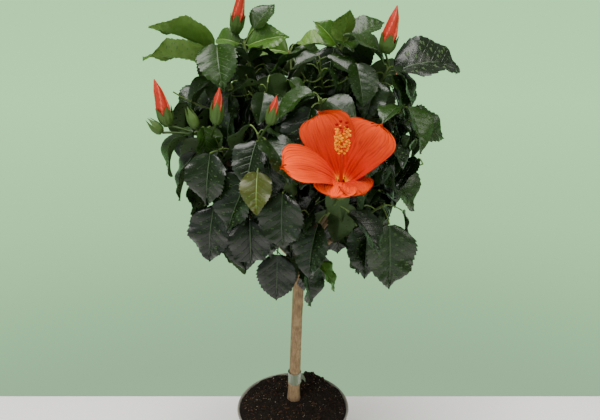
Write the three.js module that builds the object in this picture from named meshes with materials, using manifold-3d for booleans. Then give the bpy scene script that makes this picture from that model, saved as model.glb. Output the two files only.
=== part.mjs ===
// A hibiscus grown as a small standard: one bare stem in a nursery pot, a round
// crown of glossy leaves, buds at the shoot tips and one open orange bloom.
// Millimetres, +Z up. The origin is the middle of the pot's flat underside, and
// the bloom faces -Y. Bearings are degrees from +X towards +Y, rises degrees
// above the level.
import * as THREE from 'three';
import { mergeVertices } from 'three/addons/utils/BufferGeometryUtils.js';
import Module from 'manifold-3d';

const wasm = await Module();
wasm.setup();

const GAP = 0.3;
// Leaves and twigs follow one another round a stem by this many degrees.
const GOLDEN_TURN = 137.5;

const POT = {
  height: 132,
  rimRadius: 85,
  baseRadius: 60,
  wall: 2,
  lipDepth: 9,
  lipStandOut: 1.6,
  floor: 2.5,
  drainHoles: 6,
  drainRadius: 5,
  drainCircle: 44,
  sides: 36,
};

const SOIL = {
  edgeLevel: 130.5,
  seatLevel: 146,
  seatRadius: 14,
  rings: 5,
  moundHeight: 15,
  moundAt: [34, 56],
  moundSpread: 28,
  shoulder: [68, 82],
  ripple: 1.4,
};

const STEM = {
  foot: [1.2, 0],
  lean: 0.038,
  headLevel: 397,
  footRadius: 8.8,
  headRadius: 7.6,
  flare: 1.5,
  flareHeight: 9,
  sides: 12,
  steps: 9,
};

const TIE = { level: 184, height: 17, thickness: 0.8, looseness: 0.5, tail: [1, 7, 15] };

// The whole of each shoot is one curve from where it leaves the stem or an
// older bough to its tip. The bough is the first share of it, the foliage's own
// stem is the rest. The tip is given from the middle of the crown's head.
const HEAD = new THREE.Vector3(11, 0, 392);
const BOUGH = { share: 0.4, radius: 5, forkRadius: 3.2, tipRadius: 1.5, sides: 5, steps: 3 };
const TWIG = { count: 5, length: 0.62, spread: 50, radius: 1.5, tipRadius: 0.8, sides: 3, steps: 2 };
// fold lifts each half of a blade off its midrib, young is the size of the leaf
// nearest a tip, and stemFrom and twigFrom are where the leaves begin. A leaf that
// doesn't fit tries other poses, each turned by swing, lower by sag and smaller
// by shrink.
const LEAF = {
  length: 88,
  width: 0.72,
  young: 0.8,
  fold: 14,
  thickness: 0.022,
  widest: 0.37,
  petiole: 25,
  petioleRadius: 0.9,
  onStem: 14,
  onTwig: 7,
  stemFrom: 0.33,
  twigFrom: 0.5,
  tries: 14,
  sag: 12,
  swing: 28,
  placedSwing: 7,
  shrink: 0.03,
};
// The crown's outline, which only leaves and buds with a set place stand out of.
const CROWN = { centre: new THREE.Vector3(16, 0, 530), radius: 164, halfHeight: 190 };
// The wedge of open air under the bloom, between two low boughs.
const WEDGE = { from: new THREE.Vector3(54, -110, 422), to: new THREE.Vector3(62, 10, 367), radius: 17 };
// Room is claimed in cubes. Samples on a leaf are closer together than a cube is
// wide, so a leaf that keeps one cube off another mass never meets it. overlap is
// how far a mass may reach past the middle between two, and shared the part of a
// leaf that may cross others of its own mass.
const CLAIM = { cube: 5.5, smallCube: 4, rows: 24, columns: 8, overlap: 50, shared: 0.015 };
const BUD = { sides: 6, rows: [0, 0.15, 0.4, 0.75, 1], girth: [0.35, 0.9, 1, 0.55, 0] };
const BLOOM = {
  petals: [[26, 70, 75, 73], [-44, 71, 72, 92], [110, 78, 75, 69], [172, 92, 42, 50], [-143, 80, 44, 46]],
  petalRing: 4,
  baseAngle: 25,
  tube: 24,
  facing: [-94, 62],
  column: 78,
  stamens: 6,
  stigmas: 5,
  leaves: 3,
  reachBonus: 20,
};

// name, level on the stem or [older shoot, place on it], tip, bow, leaves, seed,
// and what shows there: leaves and buds with a set place and pose.
const SHOOTS = [
  {
    name: 'bloom', from: 374, tip: [-72.3, 39.7, 189.5], bow: 0.06, seed: 18, bloom: true,
    leaves: [
      { at: 0.73, bearing: -130, rise: -62, length: 71, roll: 0, arch: 26, petiole: 18 },
      { at: 0.86, bearing: -30, rise: -34, length: 62, roll: 0, arch: 30, petiole: 20 },
    ],
    buds: [],
  },
  {
    name: 'front', from: 378, tip: [-113, 57, 222], bow: -0.08, seed: 22,
    leaves: [
      { at: 0.97, bearing: -40, rise: 6, length: 70, roll: 0, arch: 50, petiole: 14 },
      { at: 0.9, bearing: -95, rise: -50, length: 48, roll: 0, arch: 20, petiole: 44 },
    ],
    buds: [{ at: 0.97, stalk: [-60, 38, 34], point: [0, 76, 32], radius: 6 }],
  },
  {
    name: 'upper_front', from: 397, tip: [-74, 69, 236], bow: -0.04, seed: 28,
    leaves: [
      { at: 0.97, bearing: -150, rise: -24, length: 84, roll: 10, arch: 40, petiole: 16 },
      { at: 0.98, bearing: -20, rise: 6, length: 72, roll: 0, arch: 46, petiole: 12 },
    ],
    buds: [],
  },
  {
    name: 'upper_left', from: 388, tip: [-165, 69, 289], bow: -0.02, seed: 11,
    leaves: [
      { at: 0.98, bearing: 179, rise: 28, length: 82, roll: -32, arch: 14, petiole: 6 },
      { at: 0.93, bearing: 187, rise: 14, length: 82, roll: -30, arch: 12, petiole: 14 },
      { at: 0.88, bearing: -150, rise: -20, length: 66, roll: 0, arch: 45, petiole: 16 },
    ],
    buds: [],
  },
  {
    name: 'top_left', from: 393, tip: [158, 74, 284], bow: 0, seed: 12,
    leaves: [
      { at: 0.99, bearing: 14, rise: 56, length: 44, roll: -40, arch: 30, petiole: 24 },
      { at: 0.98, bearing: -8, rise: 34, length: 58, roll: -50, arch: 16, petiole: 4 },
      { at: 0.98, bearing: -176, rise: 34, length: 42, roll: 52, arch: 50, petiole: 8 },
      { at: 0.89, bearing: -91, rise: 52, length: 48, roll: 0, arch: 60, petiole: 8 },
    ],
    buds: [{ at: 0.99, stalk: [180, 54, 18], point: [0, 79, 58], radius: 8.5 }],
  },
  {
    name: 'top', from: 395, tip: [9, 79, 277], bow: 0, seed: 14,
    leaves: [
      { at: 0.99, bearing: -63, rise: 70, length: 46, roll: 0, arch: 12, petiole: 6 },
      { at: 0.97, bearing: 168, rise: 26, length: 66, roll: 20, arch: 34, petiole: 12 },
      { at: 0.97, bearing: -176, rise: 56, length: 42, roll: 62, arch: 20, petiole: 10 },
      { at: 0.97, bearing: 14, rise: 44, length: 62, roll: -30, arch: 37, petiole: 12 },
    ],
    buds: [],
  },
  {
    name: 'upper_right', from: ['top', 0.3], tip: [-15, 66, 274], bow: -0.04, seed: 15,
    leaves: [
      { at: 0.94, bearing: 2, rise: 22, length: 98, roll: -34, arch: 50, petiole: 14 },
      { at: 0.98, bearing: -165, rise: 50, length: 64, roll: 24, arch: 26, petiole: 8 },
      { at: 0.94, bearing: -169, rise: 14, length: 78, roll: 14, arch: 52, petiole: 10 },
      { at: 0.89, bearing: -29, rise: -55, length: 44, roll: 0, arch: 13, petiole: 17 },
    ],
    buds: [{ at: 0.99, stalk: [-150, 68, 18], point: [0, 78, 56], radius: 9.5 }],
  },
  {
    name: 'left', from: ['upper_left', 0.26], tip: [-150, 52, 225], bow: -0.06, seed: 72,
    leaves: [
      { at: 0.99, bearing: 178, rise: 20, length: 78, roll: -1, arch: 84, petiole: 6 },
      { at: 0.86, bearing: -168, rise: -56, length: 66, roll: 0, arch: 20, petiole: 18 },
    ],
    buds: [
      { at: 0.98, stalk: [186, 18, 38], point: [180, 77, 56], radius: 8.5 },
      { at: 0.98, stalk: [190, 6, 44], point: [180, 45, 24], radius: 5.5 },
      { at: 0.93, stalk: [-110, 45, 26], point: [165, 66, 27], radius: 5.5 },
      { at: 0.88, stalk: [-68, 42, 48], point: [0, 82, 42], radius: 7 },
    ],
  },
  {
    name: 'right', from: 380, tip: [2, 55, 227], bow: -0.05, seed: 16,
    leaves: [
      { at: 0.95, bearing: -2, rise: -2, length: 68, roll: -47, arch: 46, petiole: 10 },
      { at: 0.72, bearing: -32, rise: -34, length: 80, roll: -14, arch: 36, petiole: 14 },
    ],
    buds: [],
  },
  {
    name: 'lower_left', from: 368, tip: [-142, 38, 156], bow: 0.1, seed: 20,
    leaves: [
      { at: 0.98, bearing: -140, rise: -76, length: 74, roll: 34, arch: 18, petiole: 14 },
      { at: 0.74, bearing: -102, rise: -64, length: 76, roll: 6, arch: 12, petiole: 3 },
      { at: 0.99, bearing: 176, rise: -66, length: 60, roll: 0, arch: 18, petiole: 26 },
    ],
    buds: [],
  },
  {
    name: 'low_front', from: 352, tip: [-112, 26, 82], bow: 0.2, seed: 80,
    leaves: [
      { at: 0.96, bearing: -118, rise: -78, length: 80, roll: 0, arch: 12, petiole: 16 },
      { at: 0.84, bearing: -24, rise: -72, length: 68, roll: -8, arch: 14, petiole: 32 },
      { at: 0.98, bearing: -18, rise: -52, length: 46, roll: 0, arch: 20, petiole: 56 },
    ],
    buds: [],
  },
  {
    name: 'lower_right', from: 362, tip: [-28, 35, 146], bow: 0.1, seed: 30,
    leaves: [
      { at: 0.97, bearing: -77, rise: -77, length: 86, roll: -8, arch: 14, petiole: 32 },
      { at: 0.84, bearing: -101, rise: -66, length: 70, roll: 10, arch: 16, petiole: 22 },
      { at: 0.99, bearing: 8, rise: -46, length: 48, roll: 0, arch: 26, petiole: 24 },
    ],
    buds: [],
  },
  {
    name: 'back_left', from: ['top_left', 0.24], tip: [142, 54, 250], bow: -0.05, seed: 50,
    leaves: [],
    buds: [],
  },
  {
    name: 'back', from: 386, tip: [97, 66, 284], bow: -0.05, seed: 24,
    leaves: [
      { at: 0.98, bearing: -172, rise: 14, length: 64, roll: 52, arch: 40, petiole: 3 },
      { at: 0.97, bearing: -23, rise: 1, length: 52, roll: -50, arch: 46, petiole: 4 },
    ],
    buds: [{ at: 0.85, stalk: [100, 4, 44], point: [90, 62, 44], radius: 7.5 }],
  },
  {
    name: 'back_right', from: ['back', 0.28], tip: [40, 54, 250], bow: -0.05, seed: 25,
    leaves: [],
    buds: [{ at: 0.95, stalk: [30, 30, 34], point: [20, 66, 34], radius: 6.5 }],
  },
  {
    name: 'back_low_left', from: 366, tip: [124, 30, 150], bow: 0.1, seed: 26,
    leaves: [],
    buds: [],
  },
  {
    name: 'back_low_right', from: 358, tip: [61, 30, 146], bow: 0.1, seed: 27,
    leaves: [],
    buds: [],
  },
];

const UP = new THREE.Vector3(0, 0, 1);
const radians = THREE.MathUtils.degToRad;
const lerp = THREE.MathUtils.lerp;

// ---- Geometry helpers ------------------------------------------------------

const offset = (point, direction, distance) => point.clone().addScaledVector(direction, distance);

// A direction turned by degrees from one axis towards another.
function turned(axis, other, degrees) {
  return offset(axis.clone().multiplyScalar(Math.cos(radians(degrees))), other, Math.sin(radians(degrees)));
}

function heading(bearing, rise) {
  const level = Math.cos(radians(rise));
  return new THREE.Vector3(
    level * Math.cos(radians(bearing)),
    level * Math.sin(radians(bearing)),
    Math.sin(radians(rise)),
  );
}

function seeded(seed) {
  let state = seed * 7919;
  return () => {
    state = (state + 0x6d2b79f5) | 0;
    let mixed = Math.imul(state ^ (state >>> 15), 1 | state);
    mixed = (mixed + Math.imul(mixed ^ (mixed >>> 7), 61 | mixed)) ^ mixed;
    return ((mixed ^ (mixed >>> 14)) >>> 0) / 4294967296;
  };
}

// Only positions, shared corners merged, collapsed faces dropped.
function sealed(geometry) {
  geometry.deleteAttribute('normal');
  geometry.deleteAttribute('uv');
  const merged = mergeVertices(geometry, 1e-4);
  const index = merged.getIndex().array;
  const kept = [];
  for (let i = 0; i < index.length; i += 3) {
    const [a, b, c] = index.slice(i, i + 3);
    if (a !== b && b !== c && c !== a) kept.push(a, b, c);
  }
  merged.setIndex(kept);
  return merged;
}

function toSolid(geometry) {
  const closed = sealed(geometry);
  return new wasm.Manifold(new wasm.Mesh({
    numProp: 3,
    vertProperties: new Float32Array(closed.getAttribute('position').array),
    triVerts: new Uint32Array(closed.getIndex().array),
  }));
}

// The largest body of a solid, with loose scraps and sealed hollows left out.
function largestBody(solid) {
  const bodies = solid.decompose();
  return bodies.reduce((a, b) => (b.volume() > a.volume() ? b : a));
}

function toGeometry(solid) {
  const mesh = solid.getMesh();
  const geometry = new THREE.BufferGeometry();
  geometry.setAttribute('position', new THREE.BufferAttribute(mesh.vertProperties, 3));
  geometry.setIndex(new THREE.BufferAttribute(mesh.triVerts, 1));
  return geometry;
}

const joined = (geometries) => largestBody(wasm.Manifold.union(geometries.map(toSolid)));

// A square frame at each point of a path, carried along it without twisting.
function framesAlong(points) {
  const last = points.length - 1;
  const tangents = points.map((_, i) => points[Math.min(i + 1, last)].clone()
    .sub(points[Math.max(i - 1, 0)]).normalize());
  let normal = new THREE.Vector3().crossVectors(tangents[0], UP);
  if (normal.length() < 0.05) normal = new THREE.Vector3(1, 0, 0);
  return tangents.map((tangent) => {
    normal = offset(normal, tangent, -normal.dot(tangent)).normalize();
    return { tangent, normal, side: new THREE.Vector3().crossVectors(normal, tangent) };
  });
}

// A cylinder bent along a path, with a radius at each of the path's points.
function limb(points, radii, sides) {
  const steps = points.length - 1;
  const frames = framesAlong(points);
  const geometry = new THREE.CylinderGeometry(1, 1, 1, sides, steps);
  const position = geometry.getAttribute('position');
  for (let i = 0; i < position.count; i += 1) {
    const row = Math.round((position.getY(i) + 0.5) * steps);
    const { normal, side } = frames[row];
    const moved = points[row].clone()
      .addScaledVector(normal, position.getX(i) * radii[row])
      .addScaledVector(side, position.getZ(i) * radii[row]);
    position.setXYZ(i, moved.x, moved.y, moved.z);
  }
  return geometry;
}

// A thin closed blade: pointAt gives a place for across in -1..1, along in 0..1
// and face, +1 on the upper side, -1 on the lower and 0 at the margin.
function blade(pointAt, acrossSteps, rows) {
  const geometry = new THREE.BoxGeometry(2, 1, 2, acrossSteps, rows.length - 1, 1);
  const position = geometry.getAttribute('position');
  for (let i = 0; i < position.count; i += 1) {
    const row = Math.round((position.getY(i) + 0.5) * (rows.length - 1));
    const place = pointAt(position.getX(i), rows[row], position.getZ(i));
    position.setXYZ(i, place.x, place.y, place.z);
  }
  return geometry;
}

// ---- Pot and soil ----------------------------------------------------------

const potRadiusAt = (level) => lerp(POT.baseRadius, POT.rimRadius - POT.lipStandOut, level / POT.height);

function makePot() {
  const { height, wall, floor, lipDepth, lipStandOut } = POT;
  const shape = [
    [0, 0],
    [POT.baseRadius - 1, 0],
    [POT.baseRadius, 1],
    [potRadiusAt(height - lipDepth), height - lipDepth],
    [potRadiusAt(height - lipDepth) + lipStandOut, height - lipDepth + 0.6],
    [POT.rimRadius, height - 1],
    [POT.rimRadius - 1, height],
    [potRadiusAt(height) - wall, height],
    [potRadiusAt(floor) - wall, floor],
    [0, floor],
  ].map(([radius, level]) => new THREE.Vector2(radius, level));
  const body = new THREE.LatheGeometry(shape, POT.sides).rotateX(Math.PI / 2);
  let solid = toSolid(body);
  for (let i = 0; i < POT.drainHoles; i += 1) {
    const turn = (2 * Math.PI * i) / POT.drainHoles;
    const hole = new THREE.CylinderGeometry(POT.drainRadius, POT.drainRadius, 4 * floor, 12)
      .rotateX(Math.PI / 2)
      .translate(POT.drainCircle * Math.cos(turn), POT.drainCircle * Math.sin(turn), 0);
    solid = solid.subtract(toSolid(hole));
  }
  return toGeometry(solid);
}

// The surface is level where the stem stands, falls to the pot's wall, and has
// a mound behind the stem.
function soilLevelAt(x, y) {
  const fromStem = Math.hypot(x - STEM.foot[0], y - STEM.foot[1]);
  const fromMound = Math.hypot(x - SOIL.moundAt[0], y - SOIL.moundAt[1]);
  const fall = THREE.MathUtils.smoothstep(fromStem, SOIL.seatRadius, POT.rimRadius);
  const inside = 1 - THREE.MathUtils.smoothstep(Math.hypot(x, y), ...SOIL.shoulder);
  const mound = SOIL.moundHeight * Math.exp(-((fromMound / SOIL.moundSpread) ** 2)) * inside;
  const waves = Math.sin(x * 0.19 + 1) * Math.cos(y * 0.16) + Math.sin(x * 0.07 - y * 0.11);
  const ripple = SOIL.ripple * waves;
  const rough = THREE.MathUtils.smoothstep(fromStem, SOIL.seatRadius, SOIL.seatRadius + 16);
  return lerp(SOIL.seatLevel, SOIL.edgeLevel, fall) + (mound + ripple) * rough;
}

function makeSoil() {
  const innerRadiusAt = (level) => potRadiusAt(level) - POT.wall - 2 * GAP;
  const bottom = POT.floor + GAP;
  const profile = [
    new THREE.Vector2(0, bottom),
    new THREE.Vector2(innerRadiusAt(bottom), bottom),
  ];
  for (let ring = SOIL.rings; ring >= 0; ring -= 1) {
    const share = ring / SOIL.rings;
    profile.push(new THREE.Vector2(innerRadiusAt(SOIL.edgeLevel - 4) * share, SOIL.edgeLevel));
  }
  const geometry = new THREE.LatheGeometry(profile, POT.sides).rotateX(Math.PI / 2);
  const position = geometry.getAttribute('position');
  for (let i = 0; i < position.count; i += 1) {
    if (position.getZ(i) > bottom + 1) position.setZ(i, soilLevelAt(position.getX(i), position.getY(i)));
  }
  return toGeometry(toSolid(geometry));
}

// ---- Stem and tie ----------------------------------------------------------

const stemFoot = SOIL.seatLevel + GAP;

function stemPoint(level) {
  return new THREE.Vector3(STEM.foot[0] + STEM.lean * (level - stemFoot), STEM.foot[1], level);
}

function stemRadius(level) {
  const up = (level - stemFoot) / (STEM.headLevel - stemFoot);
  const flare = STEM.flare * Math.exp(-(level - stemFoot) / STEM.flareHeight);
  return lerp(STEM.footRadius, STEM.headRadius, up) + flare;
}

function stemLimb(extra) {
  const points = [];
  const radii = [];
  for (let step = 0; step <= STEM.steps; step += 1) {
    const level = lerp(stemFoot, STEM.headLevel, (step / STEM.steps) ** 1.6);
    points.push(stemPoint(level));
    radii.push(stemRadius(level) + extra);
  }
  return limb(points, radii, STEM.sides);
}

// The foot is cut level, so the leaning tube's lowest ring is laid flat.
function makeStem(extra = 0) {
  const geometry = stemLimb(extra);
  const position = geometry.getAttribute('position');
  for (let i = 0; i < position.count; i += 1) {
    if (position.getZ(i) < stemFoot + 1) position.setZ(i, stemFoot);
  }
  return toSolid(geometry);
}

function makeTie() {
  const bore = stemRadius(TIE.level - TIE.height) + TIE.looseness;
  const outside = bore + TIE.thickness;
  const half = TIE.height / 2;
  const section = [[bore, -half], [outside, -half], [outside, half], [bore, half], [bore, -half]];
  const band = new THREE.LatheGeometry(section.map(([x, y]) => new THREE.Vector2(x, y)), 16);
  const [thick, wide, long] = TIE.tail;
  const tail = new THREE.BoxGeometry(wide, long, thick)
    .translate(outside + wide / 2 - 0.5, -half + TIE.thickness - long / 4, 0);
  const lean = Math.atan(STEM.lean);
  const centre = stemPoint(TIE.level);
  const solid = joined([band, tail].map((piece) => piece.rotateX(Math.PI / 2).rotateY(lean)
    .translate(centre.x, centre.y, centre.z)));
  return toGeometry(solid);
}

// ---- Shoots ----------------------------------------------------------------

const curves = new Map();

function shootCurve(shoot) {
  if (!curves.has(shoot.name)) {
    const start = Array.isArray(shoot.from)
      ? shootCurve(SHOOTS.find(({ name }) => name === shoot.from[0])).getPoint(shoot.from[1])
      : stemPoint(shoot.from);
    const [bearing, rise, reach] = shoot.tip;
    const tip = offset(HEAD, heading(bearing, rise), reach);
    const control = start.clone().lerp(tip, 0.5).addScaledVector(UP, shoot.bow * reach);
    curves.set(shoot.name, new THREE.QuadraticBezierCurve3(start, control, tip));
  }
  return curves.get(shoot.name);
}

function shootRadius(shoot, at) {
  return lerp(Array.isArray(shoot.from) ? BOUGH.forkRadius : BOUGH.radius, BOUGH.tipRadius, at ** 0.8);
}

function boughLimb(shoot, extra) {
  const curve = shootCurve(shoot);
  const points = [];
  const radii = [];
  for (let step = 0; step <= BOUGH.steps; step += 1) {
    const at = (BOUGH.share * step) / BOUGH.steps;
    points.push(curve.getPoint(at));
    radii.push(shootRadius(shoot, at) + extra);
  }
  return toSolid(limb(points, radii, BOUGH.sides));
}

// The foliage's own stem starts one gap beyond the bough's cut tip.
function foliageStart(shoot) {
  return BOUGH.share + GAP / shootCurve(shoot).getLength();
}

const SPACES = SHOOTS.map((shoot) => {
  const curve = shootCurve(shoot);
  const start = foliageStart(shoot);
  const points = [];
  for (let step = 0; step <= 8; step += 1) points.push(curve.getPoint(lerp(start, 1, step / 8)));
  if (shoot.bloom) points.push(offset(points.at(-1), heading(...BLOOM.facing), BLOOM.column));
  return { name: shoot.name, points, bonus: shoot.bloom ? BLOOM.reachBonus : 0 };
});

function distanceToPath(point, points) {
  let nearest = Infinity;
  for (let i = 1; i < points.length; i += 1) {
    const from = points[i - 1];
    const span = points[i].clone().sub(from);
    const along = THREE.MathUtils.clamp(point.clone().sub(from).dot(span) / span.lengthSq(), 0, 1);
    nearest = Math.min(nearest, point.distanceTo(offset(from, span, along)));
  }
  return nearest;
}

// A mass keeps to the room round its own stem, and may reach a little way into
// the next one's where that is still empty.
function inOwnRoom(point, name) {
  const distances = SPACES.map((space) => distanceToPath(point, space.points) - space.bonus);
  const own = distances[SPACES.findIndex((space) => space.name === name)];
  return own < Math.min(...distances) + CLAIM.overlap;
}

function inCrown(point) {
  const { centre, radius, halfHeight } = CROWN;
  const level = Math.hypot(point.x - centre.x, point.y - centre.y) / radius;
  return Math.hypot(level, (point.z - centre.z) / halfHeight) < 1
    && distanceToPath(point, [WEDGE.from, WEDGE.to]) > WEDGE.radius;
}

// A leaf fills small cubes, which its own mass's other leaves stay out of, and
// claims larger ones, whose neighbours too are closed to every other mass.
const filled = new Set();
const claimed = new Map();
const cellKey = (i, j, k) => ((i + 512) * 1024 + (j + 512)) * 1024 + k + 512;
const cellOf = (point, size) => point.toArray().map((value) => Math.floor(value / size));
const smallKey = (point) => cellKey(...cellOf(point, CLAIM.smallCube));
const largeKey = (point) => cellKey(...cellOf(point, CLAIM.cube));
const clearOfOthers = (point, mass) => (claimed.get(largeKey(point)) ?? mass) === mass;

function claim(points, mass) {
  for (const point of points) {
    filled.add(smallKey(point));
    const [x, y, z] = cellOf(point, CLAIM.cube);
    for (let i = x - 1; i <= x + 1; i += 1) {
      for (let j = y - 1; j <= y + 1; j += 1) {
        for (let k = z - 1; k <= z + 1; k += 1) {
          const key = cellKey(i, j, k);
          claimed.set(key, (claimed.get(key) ?? mass) === mass ? mass : 'several');
        }
      }
    }
  }
}

// Points along every limb with the room that a leaf must leave round them.
const LIMB_POINTS = [];
for (let level = stemFoot; level <= STEM.headLevel; level += 6) {
  LIMB_POINTS.push({ point: stemPoint(level), room: stemRadius(level) + 7 });
}
for (const shoot of SHOOTS) {
  const curve = shootCurve(shoot);
  for (let at = 0; at <= BOUGH.share; at += 0.02) {
    LIMB_POINTS.push({ point: curve.getPoint(at), room: shootRadius(shoot, at) + 6 });
  }
}

const clearOfLimbs = (point) => LIMB_POINTS.every((limb) => limb.point.distanceTo(point) > limb.room);

// ---- Leaves ----------------------------------------------------------------

// Half the blade's width, as a share of its greatest, from base to tip.
function leafOutline(along) {
  const shape = (x) => x ** 0.55 * (1 - x) ** (0.55 * (1 / LEAF.widest - 1));
  return shape(along) / shape(LEAF.widest);
}

// A blade bends down evenly along its midrib, and its halves fold upwards.
function leafPoint(leaf, across, along, lift) {
  const half = (leaf.width / 2) * leafOutline(along);
  const bend = leaf.arch * along;
  const radius = leaf.length / leaf.arch;
  const surface = leaf.normal.clone().multiplyScalar(Math.cos(bend))
    .addScaledVector(leaf.along, Math.sin(bend));
  return leaf.base.clone()
    .addScaledVector(leaf.along, radius * Math.sin(bend))
    .addScaledVector(leaf.normal, -radius * (1 - Math.cos(bend)))
    .addScaledVector(leaf.side, across * half * Math.cos(radians(LEAF.fold)))
    .addScaledVector(surface, Math.abs(across) * half * Math.sin(radians(LEAF.fold)) + lift);
}

// rise is the blade's own pitch at its base, roll turns it about its midrib.
function makeLeaf({ root, bearing, rise, roll, arch, length, petiole, stalkRise }) {
  const along = heading(bearing, rise);
  const level = heading(bearing + 90, 0);
  const flat = new THREE.Vector3().crossVectors(along, level);
  const side = turned(level, flat, 180 - roll);
  const normal = new THREE.Vector3().crossVectors(side, along);
  const base = offset(root, heading(bearing, stalkRise), petiole);
  return { root, base, along, side, normal, length, width: length * LEAF.width, arch: radians(arch) };
}

function leafSamples(leaf) {
  const samples = [];
  for (let row = 2; row <= CLAIM.rows; row += 1) {
    for (let column = -CLAIM.columns; column <= CLAIM.columns; column += 1) {
      samples.push(leafPoint(leaf, column / CLAIM.columns, row / CLAIM.rows, 0));
    }
  }
  return samples;
}

const stalkSamples = (leaf) => [0.5, 0.75, 1].map((share) => leaf.root.clone().lerp(leaf.base, share));

function fits(leaf, samples, mass) {
  const shared = samples.filter((point) => filled.has(smallKey(point))).length;
  return shared <= CLAIM.shared * samples.length
    && [0.5, 1].every((along) => inOwnRoom(leafPoint(leaf, 0, along, 0), mass))
    && [...samples, ...stalkSamples(leaf)].every((point) => clearOfOthers(point, mass) && clearOfLimbs(point));
}

// Tries the wanted pose first, then turns away from it to either side.
function settle(wanted, mass, step) {
  for (let attempt = 0; attempt < LEAF.tries; attempt += 1) {
    const swing = Math.ceil(attempt / 2) * (attempt % 2 ? 1 : -1);
    const leaf = makeLeaf({
      ...wanted,
      bearing: wanted.bearing + swing * step,
      rise: Math.max(wanted.rise - Math.abs(swing) * LEAF.sag, -82),
      length: wanted.length * (1 - LEAF.shrink * attempt),
    });
    const samples = leafSamples(leaf);
    const placed = wanted.at !== undefined;
    const shown = placed || [0.5, 1].every((along) => inCrown(leafPoint(leaf, 0, along, 0)));
    if (shown && fits(leaf, samples, mass)) {
      claim(samples.concat(stalkSamples(leaf)), mass);
      return leaf;
    }
  }
  return null;
}

// Rows of a leaf's solid: its stalk's root, then places along the blade.
const LEAF_ROWS = [-1, 0, 0.28, 0.66, 1];

function leafSolid(leaf) {
  const { root, base, side, normal } = leaf;
  const stalkUp = new THREE.Vector3().crossVectors(side, base.clone().sub(root)).normalize();
  const elbowUp = stalkUp.add(normal).normalize();
  return blade((across, along, face) => {
    if (along < 0) return root;
    if (along === 0) {
      return offset(base, side, across * LEAF.petioleRadius)
        .addScaledVector(elbowUp, face * (1 - Math.abs(across)) * LEAF.petioleRadius);
    }
    const lens = along < 1 ? 1 - Math.abs(across) : 0;
    return leafPoint(leaf, across, along, (face * lens * leaf.length * LEAF.thickness) / 2);
  }, 2, LEAF_ROWS);
}

// ---- Buds and bloom --------------------------------------------------------

function spindle(base, direction, length, radius) {
  const points = BUD.rows.map((row) => offset(base, direction, row * length));
  return limb(points, BUD.girth.map((girth) => Math.max(girth * radius, 0.01)), BUD.sides);
}

function budSolids(root, bud) {
  const [bearing, rise, reach] = bud.stalk;
  const base = offset(root, heading(bearing, rise), reach);
  const [pointBearing, pointRise, length] = bud.point;
  const direction = heading(pointBearing, pointRise);
  const inside = offset(base, direction, length * 0.15);
  return [
    limb([root, base, inside], [1.3, 1.2, 1], TWIG.sides),
    spindle(base, direction, length, bud.radius),
  ];
}

function budSamples(root, bud) {
  const [bearing, rise, reach] = bud.stalk;
  const base = offset(root, heading(bearing, rise), reach);
  const [pointBearing, pointRise, length] = bud.point;
  const direction = heading(pointBearing, pointRise);
  const samples = [];
  for (let share = 0; share <= 1; share += 0.1) {
    const middle = offset(base, direction, share * length);
    samples.push(middle, root.clone().lerp(base, share));
    for (const turn of [0, 90, 180, 270]) samples.push(offset(middle, heading(turn, 0), bud.radius));
  }
  return samples;
}

// The bloom's own axes: forward out of the throat, up and right as it is seen.
function bloomAxes() {
  const forward = heading(...BLOOM.facing);
  const right = new THREE.Vector3().crossVectors(forward, UP).normalize();
  return { forward, right, up: new THREE.Vector3().crossVectors(right, forward) };
}

// A petal leaves the throat steeply and curls outwards along its length.
function petalPoint(throat, [turn, tipAngle, length, width], across, along, lift) {
  const { forward, right, up } = bloomAxes();
  const out = turned(up, right, turn);
  const flat = new THREE.Vector3().crossVectors(out, forward);
  const start = radians(BLOOM.baseAngle);
  const sweep = radians(tipAngle) - start;
  const bend = start + sweep * along;
  const ahead = (length / sweep) * (Math.sin(bend) - Math.sin(start));
  const outward = BLOOM.petalRing + (length / sweep) * (Math.cos(start) - Math.cos(bend));
  const half = (width / 2) * (0.12 + 0.91 * along ** 0.62) * (1 - along ** 7) ** 0.6;
  const shell = forward.clone().multiplyScalar(Math.sin(bend)).addScaledVector(out, -Math.cos(bend));
  return offset(throat, forward, ahead).addScaledVector(out, outward)
    .addScaledVector(flat, across * half)
    .addScaledVector(shell, lift + 0.12 * half * across ** 2 + 2.5 * across);
}

const PETAL_ROWS = [0, 0.35, 0.7, 0.93, 1];

// The petals, and the hollow in front of them that nothing grows into.
function bloomSamples(receptacle) {
  const { forward } = bloomAxes();
  const throat = offset(receptacle, forward, BLOOM.tube);
  const samples = [];
  for (const petal of BLOOM.petals) {
    for (let row = 0; row <= CLAIM.rows; row += 1) {
      for (let column = -CLAIM.columns; column <= CLAIM.columns; column += 1) {
        for (let ahead = -BLOOM.tube; ahead <= 40; ahead += 8) {
          if (ahead < 0 && row > 2) continue;
          samples.push(petalPoint(throat, petal, column / CLAIM.columns, row / CLAIM.rows, 0)
            .addScaledVector(forward, ahead));
        }
      }
    }
  }
  return samples;
}

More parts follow.
